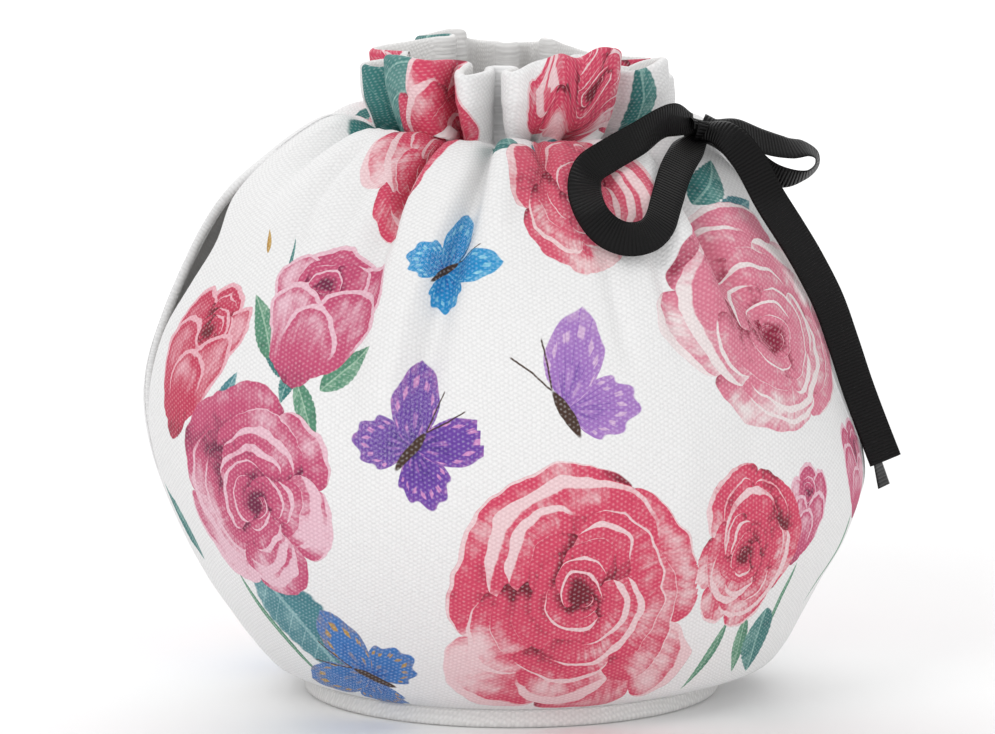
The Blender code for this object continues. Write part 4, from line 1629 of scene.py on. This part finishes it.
FRONT_CREASES = [
    Crease("long ridge", (-31, 90), (-28, 200), 5.5, -3.0, 1.8),
    Crease("right of long ridge", (-26, 104), (-21, 192), 4.4, 2.2),
    Crease("right diagonal", (50, 112), (26, 196), 4.6, 3.6),
    Crease("beside right diagonal", (38, 116), (17, 196), 5.5, -2.4),
    Crease("short right", (22, 120), (20, 184), 3.2, 2.4),
    Crease("wrinkle", (12, 118), (7, 170), 2.8, 1.6),
    Crease("left shoulder", (-55, 150), (-51, 211), 3.4, 2.8),
    Crease("left shoulder inner", (-47, 142), (-45, 209), 2.8, 2.0),
    Crease("left shoulder ridge", (-50, 155), (-50, 206), 3.0, -1.0),
    Crease("red valley", (-34, 156), (-40, 214), 3.0, 3.2),
    Crease("red puff", (-38, 165), (-50, 208), 5.0, -1.8),
    Crease("white puff", (-15, 158), (-16, 211), 6.0, -3.0, 1.4),
    Crease("flank facet", (20, 30), (21, 118), 7.0, -0.9),
    Crease("beside flank facet", (31, 34), (33, 110), 9.0, 0.7),
    Crease("left low", (-44, 30), (-36, 112), 9.0, 0.8),
    Crease("far left", (-70, 40), (-66, 150), 8.0, 0.9),
    Crease("left pleat crest", (-47, 209), (-46, 266), 5.0, -4.4),
    Crease("left pleat side", (-62, 214), (-62, 266), 7.0, 0.9),
    Crease("red pleat side", (-40, 214), (-38, 266), 4.0, 1.6),
    Crease("narrow pleat", (-31, 212), (-31, 266), 3.0, -1.2),
    Crease("notch", (-23, 206), (-23, 268), 6.0, 2.6, opens=True),
    Crease("right of notch", (-14, 214), (-14, 266), 4.0, -0.8),
    Crease("rose pleat", (22, 214), (22, 266), 9.0, -1.4),
    Crease("green pleat side", (42, 214), (42, 266), 3.5, 1.5),
    Crease("flap", (56, 214), (56, 266), 6.0, -1.6),
]
BACK_CREASES = [
    Crease("right shoulder", (112, 140), (107, 206), 5.0, 1.8),
    Crease("right back ridge", (122, 110), (118, 204), 6.0, -2.0, 1.5),
    Crease("right back", (133, 96), (130, 204), 5.0, 2.2),
    Crease("centre right ridge", (146, 120), (143, 206), 6.0, -1.8),
    Crease("centre right", (152, 126), (153, 204), 3.5, 1.8),
    Crease("centre ridge", (166, 104), (163, 206), 6.5, -2.2, 1.5),
    Crease("centre", (178, 92), (175, 204), 5.5, 2.2),
    Crease("wrinkle", (188, 120), (190, 168), 3.0, 1.0),
    Crease("left ridge", (208, 100), (211, 206), 6.0, -2.0),
    Crease("left", (220, 100), (222, 204), 5.0, 2.2),
    Crease("left shoulder ridge", (236, 130), (234, 206), 5.0, -1.6),
    Crease("left shoulder", (246, 140), (247, 204), 4.0, 1.8),
    Crease("low flank", (160, 30), (158, 110), 9.0, 0.8),
    Crease("low left flank", (226, 30), (220, 112), 9.0, 0.9),
    Crease("heading right", (116, 214), (116, 266), 5.0, -2.4),
    Crease("heading notch", (129, 208), (128, 268), 6.0, 1.6, opens=True),
    Crease("heading centre", (163, 214), (164, 266), 6.0, -1.8),
    Crease("heading left notch", (222, 208), (222, 268), 6.0, 1.6, opens=True),
    Crease("heading centre notch", (175, 208), (175, 268), 6.0, 1.4, opens=True),
    Crease("heading left", (236, 214), (236, 266), 5.0, -2.2),
]

# Each rim runs over cloth angles, with how much higher than the solid the heading stands in mm

FRONT_RIM = [
    (-90, -5.0), (-75, -5.5), (-62, -2.5), (-50, -0.5), (-40, -2.0), (-31, -3.5), (-24, -4.0),
    (-15, -3.0), (-5, -0.5), (3, 0.5), (10, 0.0), (17, 2.0), (24, 0.0), (34, -2.0),
    (44, -6.0), (54, -3.0), (66, -6.0), (78, -9.0), (90, -9.0),
]
BACK_RIM = [
    (90, -9.0), (104, -8.0), (118, -5.5), (132, -6.0), (146, -3.0), (160, -1.0), (175, -2.5),
    (190, -0.5), (205, 2.0), (218, 1.0), (232, -1.0), (246, -3.5), (258, -5.0), (270, -5.0),
]
FRONT_MOTIFS = [
    Motif(Kind.ROSE, 2, 49, 85, 95, 0, CORAL, 1.0),
    Motif(Kind.ROSE, 36, 66, 44, 54, 6, CORAL, 2.2),
    Motif(Kind.BUD, 49, 76, 20, 34, -4, PINK, 1.2),
    Motif(Kind.LEAF, 47, 44, 14, 27, -160, TEAL, 1.0),
    Motif(Kind.SEPAL, 36, 41, 4, 28, 172, GREEN, 2.0),
    Motif(Kind.SEPAL, 41, 42, 6, 24, -160, GREEN, 1.0),
    Motif(Kind.SEPAL, 50, 60, 2.4, 40, -176, GREEN, 3.0),
    Motif(Kind.BUD, 74, 88, 26, 34, -6, PINK, 1.7),
    Motif(Kind.SEPAL, 70, 74, 3, 34, 168, GREEN, 4.0),
    Motif(Kind.ROSE, 45, 136, 88, 76, -10, PALE, 3.1),
    Motif(Kind.ROSE, 18, 236, 48, 44, 30, CORAL, 1.0),
    Motif(Kind.ROSE, 6, 182, 50, 66, 8, BLUSH, 9.6),
    Motif(Kind.ROSE, -57, 84, 67, 68, 0, PINK, 6.3),
    Motif(Kind.LEAF, -59, 60, 28, 48, -162, BLUE_TEAL, 2.0),
    Motif(Kind.BUD, -45, 139, 40, 46, -10, PINK, 2.2),
    Motif(Kind.LEAF, -52, 124, 9, 24, 34, GREEN, 1.0),
    Motif(Kind.LEAF, -42, 116, 9, 20, -46, GREEN, 3.0),
    Motif(Kind.LEAF, -46.5, 119, 7, 22, -158, GREEN, 2.0),
    Motif(Kind.LEAF, -47, 121, 9, 13, 70, TEAL, 4.0),
    Motif(Kind.SEPAL, -53, 147, 1.6, 17, 12, TEAL, 1.0),
    Motif(Kind.SEPAL, -47, 122, 6, 11, 160, TEAL, 1.0),
    Motif(Kind.BUD, -74, 123, 36, 52, -8, CRIMSON, 3.7),
    Motif(Kind.LEAF, -63, 102, 9, 19, -18, BLUE_TEAL, 5.0),
    Motif(Kind.BUTTERFLY, -26, 154, 35, 35, -44, AZURE, 1.0),
    Motif(Kind.BUTTERFLY, -26, 99, 46, 46, -40, VIOLET, 2.0),
    Motif(Kind.BUTTERFLY, 0, 110, 56, 54, 30, LILAC, 3.5),
    Motif(Kind.BUTTERFLY, -41, 19, 50, 48, 60, CORNFLOWER, 4.0),
    Motif(Kind.SEPAL, -66, 56, 3, 50, -164, GREEN, 2.0),
    Motif(Kind.SEPAL, -82, 54, 8, 27, 20, TEAL, 3.0),
    Motif(Kind.LEAF, -69, 213, 48, 70, -4, TEAL, 1.0),
    Motif(Kind.ROSE, -40, 212, 44, 94, 6, CORAL, 2.9),
    Motif(Kind.LEAF, -13, 196, 9, 20, 60, TEAL, 2.0),
    Motif(Kind.LEAF, -8, 192, 16, 30, -30, BLUE_TEAL, 3.0),
    Motif(Kind.LEAF, 47, 212, 10, 32, 4, TEAL, 4.0),
    Motif(Kind.LEAF, 40, 175, 12, 24, -54, TEAL, 1.0),
    Motif(Kind.LEAF, 43, 166, 11, 22, -70, BLUE_TEAL, 5.0),
    Motif(Kind.SEPAL, -61, 157, 2.4, 9, 8, OCHRE, 1.0),
]
BACK_MOTIFS = [
    Motif(Kind.ROSE, 183, 52, 78, 88, 0, CORAL, 7.1),
    Motif(Kind.ROSE, 225, 84, 62, 66, 0, PINK, 8.4),
    Motif(Kind.LEAF, 222, 56, 24, 44, 166, BLUE_TEAL, 2.0),
    Motif(Kind.ROSE, 130, 78, 64, 72, 0, PINK, 9.2),
    Motif(Kind.LEAF, 124, 46, 18, 36, 166, TEAL, 3.0),
    Motif(Kind.SEPAL, 136, 44, 5, 26, -164, GREEN, 5.0),
    Motif(Kind.SEPAL, 132, 46, 6, 24, 178, GREEN, 3.0),
    Motif(Kind.LEAF, 148, 168, 11, 22, 20, TEAL, 6.0),
    Motif(Kind.LEAF, 232, 118, 16, 30, 40, BLUE_TEAL, 4.0),
    Motif(Kind.LEAF, 190, 182, 12, 24, -50, TEAL, 2.0),
    Motif(Kind.SEPAL, 207, 84, 3, 40, -20, GREEN, 4.0),
    Motif(Kind.SEPAL, 262, 60, 3, 46, 160, GREEN, 2.0),
    Motif(Kind.BUD, 152, 148, 38, 46, 14, PINK, 1.2),
    Motif(Kind.LEAF, 152, 124, 9, 24, -40, GREEN, 1.0),
    Motif(Kind.LEAF, 154, 124, 9, 22, 42, GREEN, 3.0),
    Motif(Kind.SEPAL, 152, 126, 2.4, 30, 176, GREEN, 2.0),
    Motif(Kind.ROSE, 206, 146, 76, 70, 10, PALE, 10.3),
    Motif(Kind.ROSE, 252, 176, 44, 46, 0, CRIMSON, 11.5),
    Motif(Kind.ROSE, 110, 156, 60, 60, 0, PALE, 12.2),
    Motif(Kind.BUD, 100, 100, 30, 42, -6, CRIMSON, 3.7),
    Motif(Kind.BUD, 254, 118, 32, 46, 6, PINK, 4.2),
    Motif(Kind.BUTTERFLY, 178, 118, 38, 38, 24, AZURE, 1.0),
    Motif(Kind.BUTTERFLY, 156, 96, 34, 34, -28, VIOLET, 2.0),
    Motif(Kind.BUTTERFLY, 236, 26, 40, 40, -46, CORNFLOWER, 4.0),
    Motif(Kind.BUTTERFLY, 130, 196, 30, 30, 18, LILAC, 5.0),
    Motif(Kind.BUD, 178, 190, 38, 44, 190, CRIMSON, 1.2),
    Motif(Kind.ROSE, 150, 234, 46, 40, 0, CORAL, 13.4),
    Motif(Kind.ROSE, 112, 232, 36, 38, 0, CRIMSON, 14.1),
    Motif(Kind.LEAF, 216, 222, 26, 46, 6, TEAL, 1.0),
    Motif(Kind.ROSE, 240, 236, 40, 40, 0, CORAL, 15.2),
    Motif(Kind.LEAF, 172, 214, 16, 34, -20, TEAL, 2.0),
    Motif(Kind.LEAF, 246, 212, 14, 24, 20, TEAL, 5.0),
]


def main() -> None:
    """Build the cosy's looks in order."""
    logging.basicConfig(level=logging.INFO, format="%(message)s")
    log.info("dressing the nodes %s", ", ".join(frame["nodes"]))
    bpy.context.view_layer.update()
    studio = Studio()
    studio.build()
    printed = PrintedCanvas().material()
    plain = PlainCanvas().material()
    front = Panel(
        "front_panel", FRONT_FOLDS, -90.0, 90.0, LEFT_CREST, RIGHT_CREST,
        ("left_front_gap", "right_front_gap"), FRONT_MOTIFS, FRONT_CREASES, FRONT_RIM,
    )
    back = Panel(
        "back_panel", BACK_FOLDS, 90.0, 270.0, RIGHT_CREST, LEFT_CREST,
        ("right_back_gap", "left_back_gap"), BACK_MOTIFS, BACK_CREASES, BACK_RIM, seed=2.0,
    )
    for panel in (front, back):
        obj = panel.build(printed, plain)
    Base().build(plain)
    Bow().build(Grosgrain().material())
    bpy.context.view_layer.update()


if __name__ == "__main__":
    main()
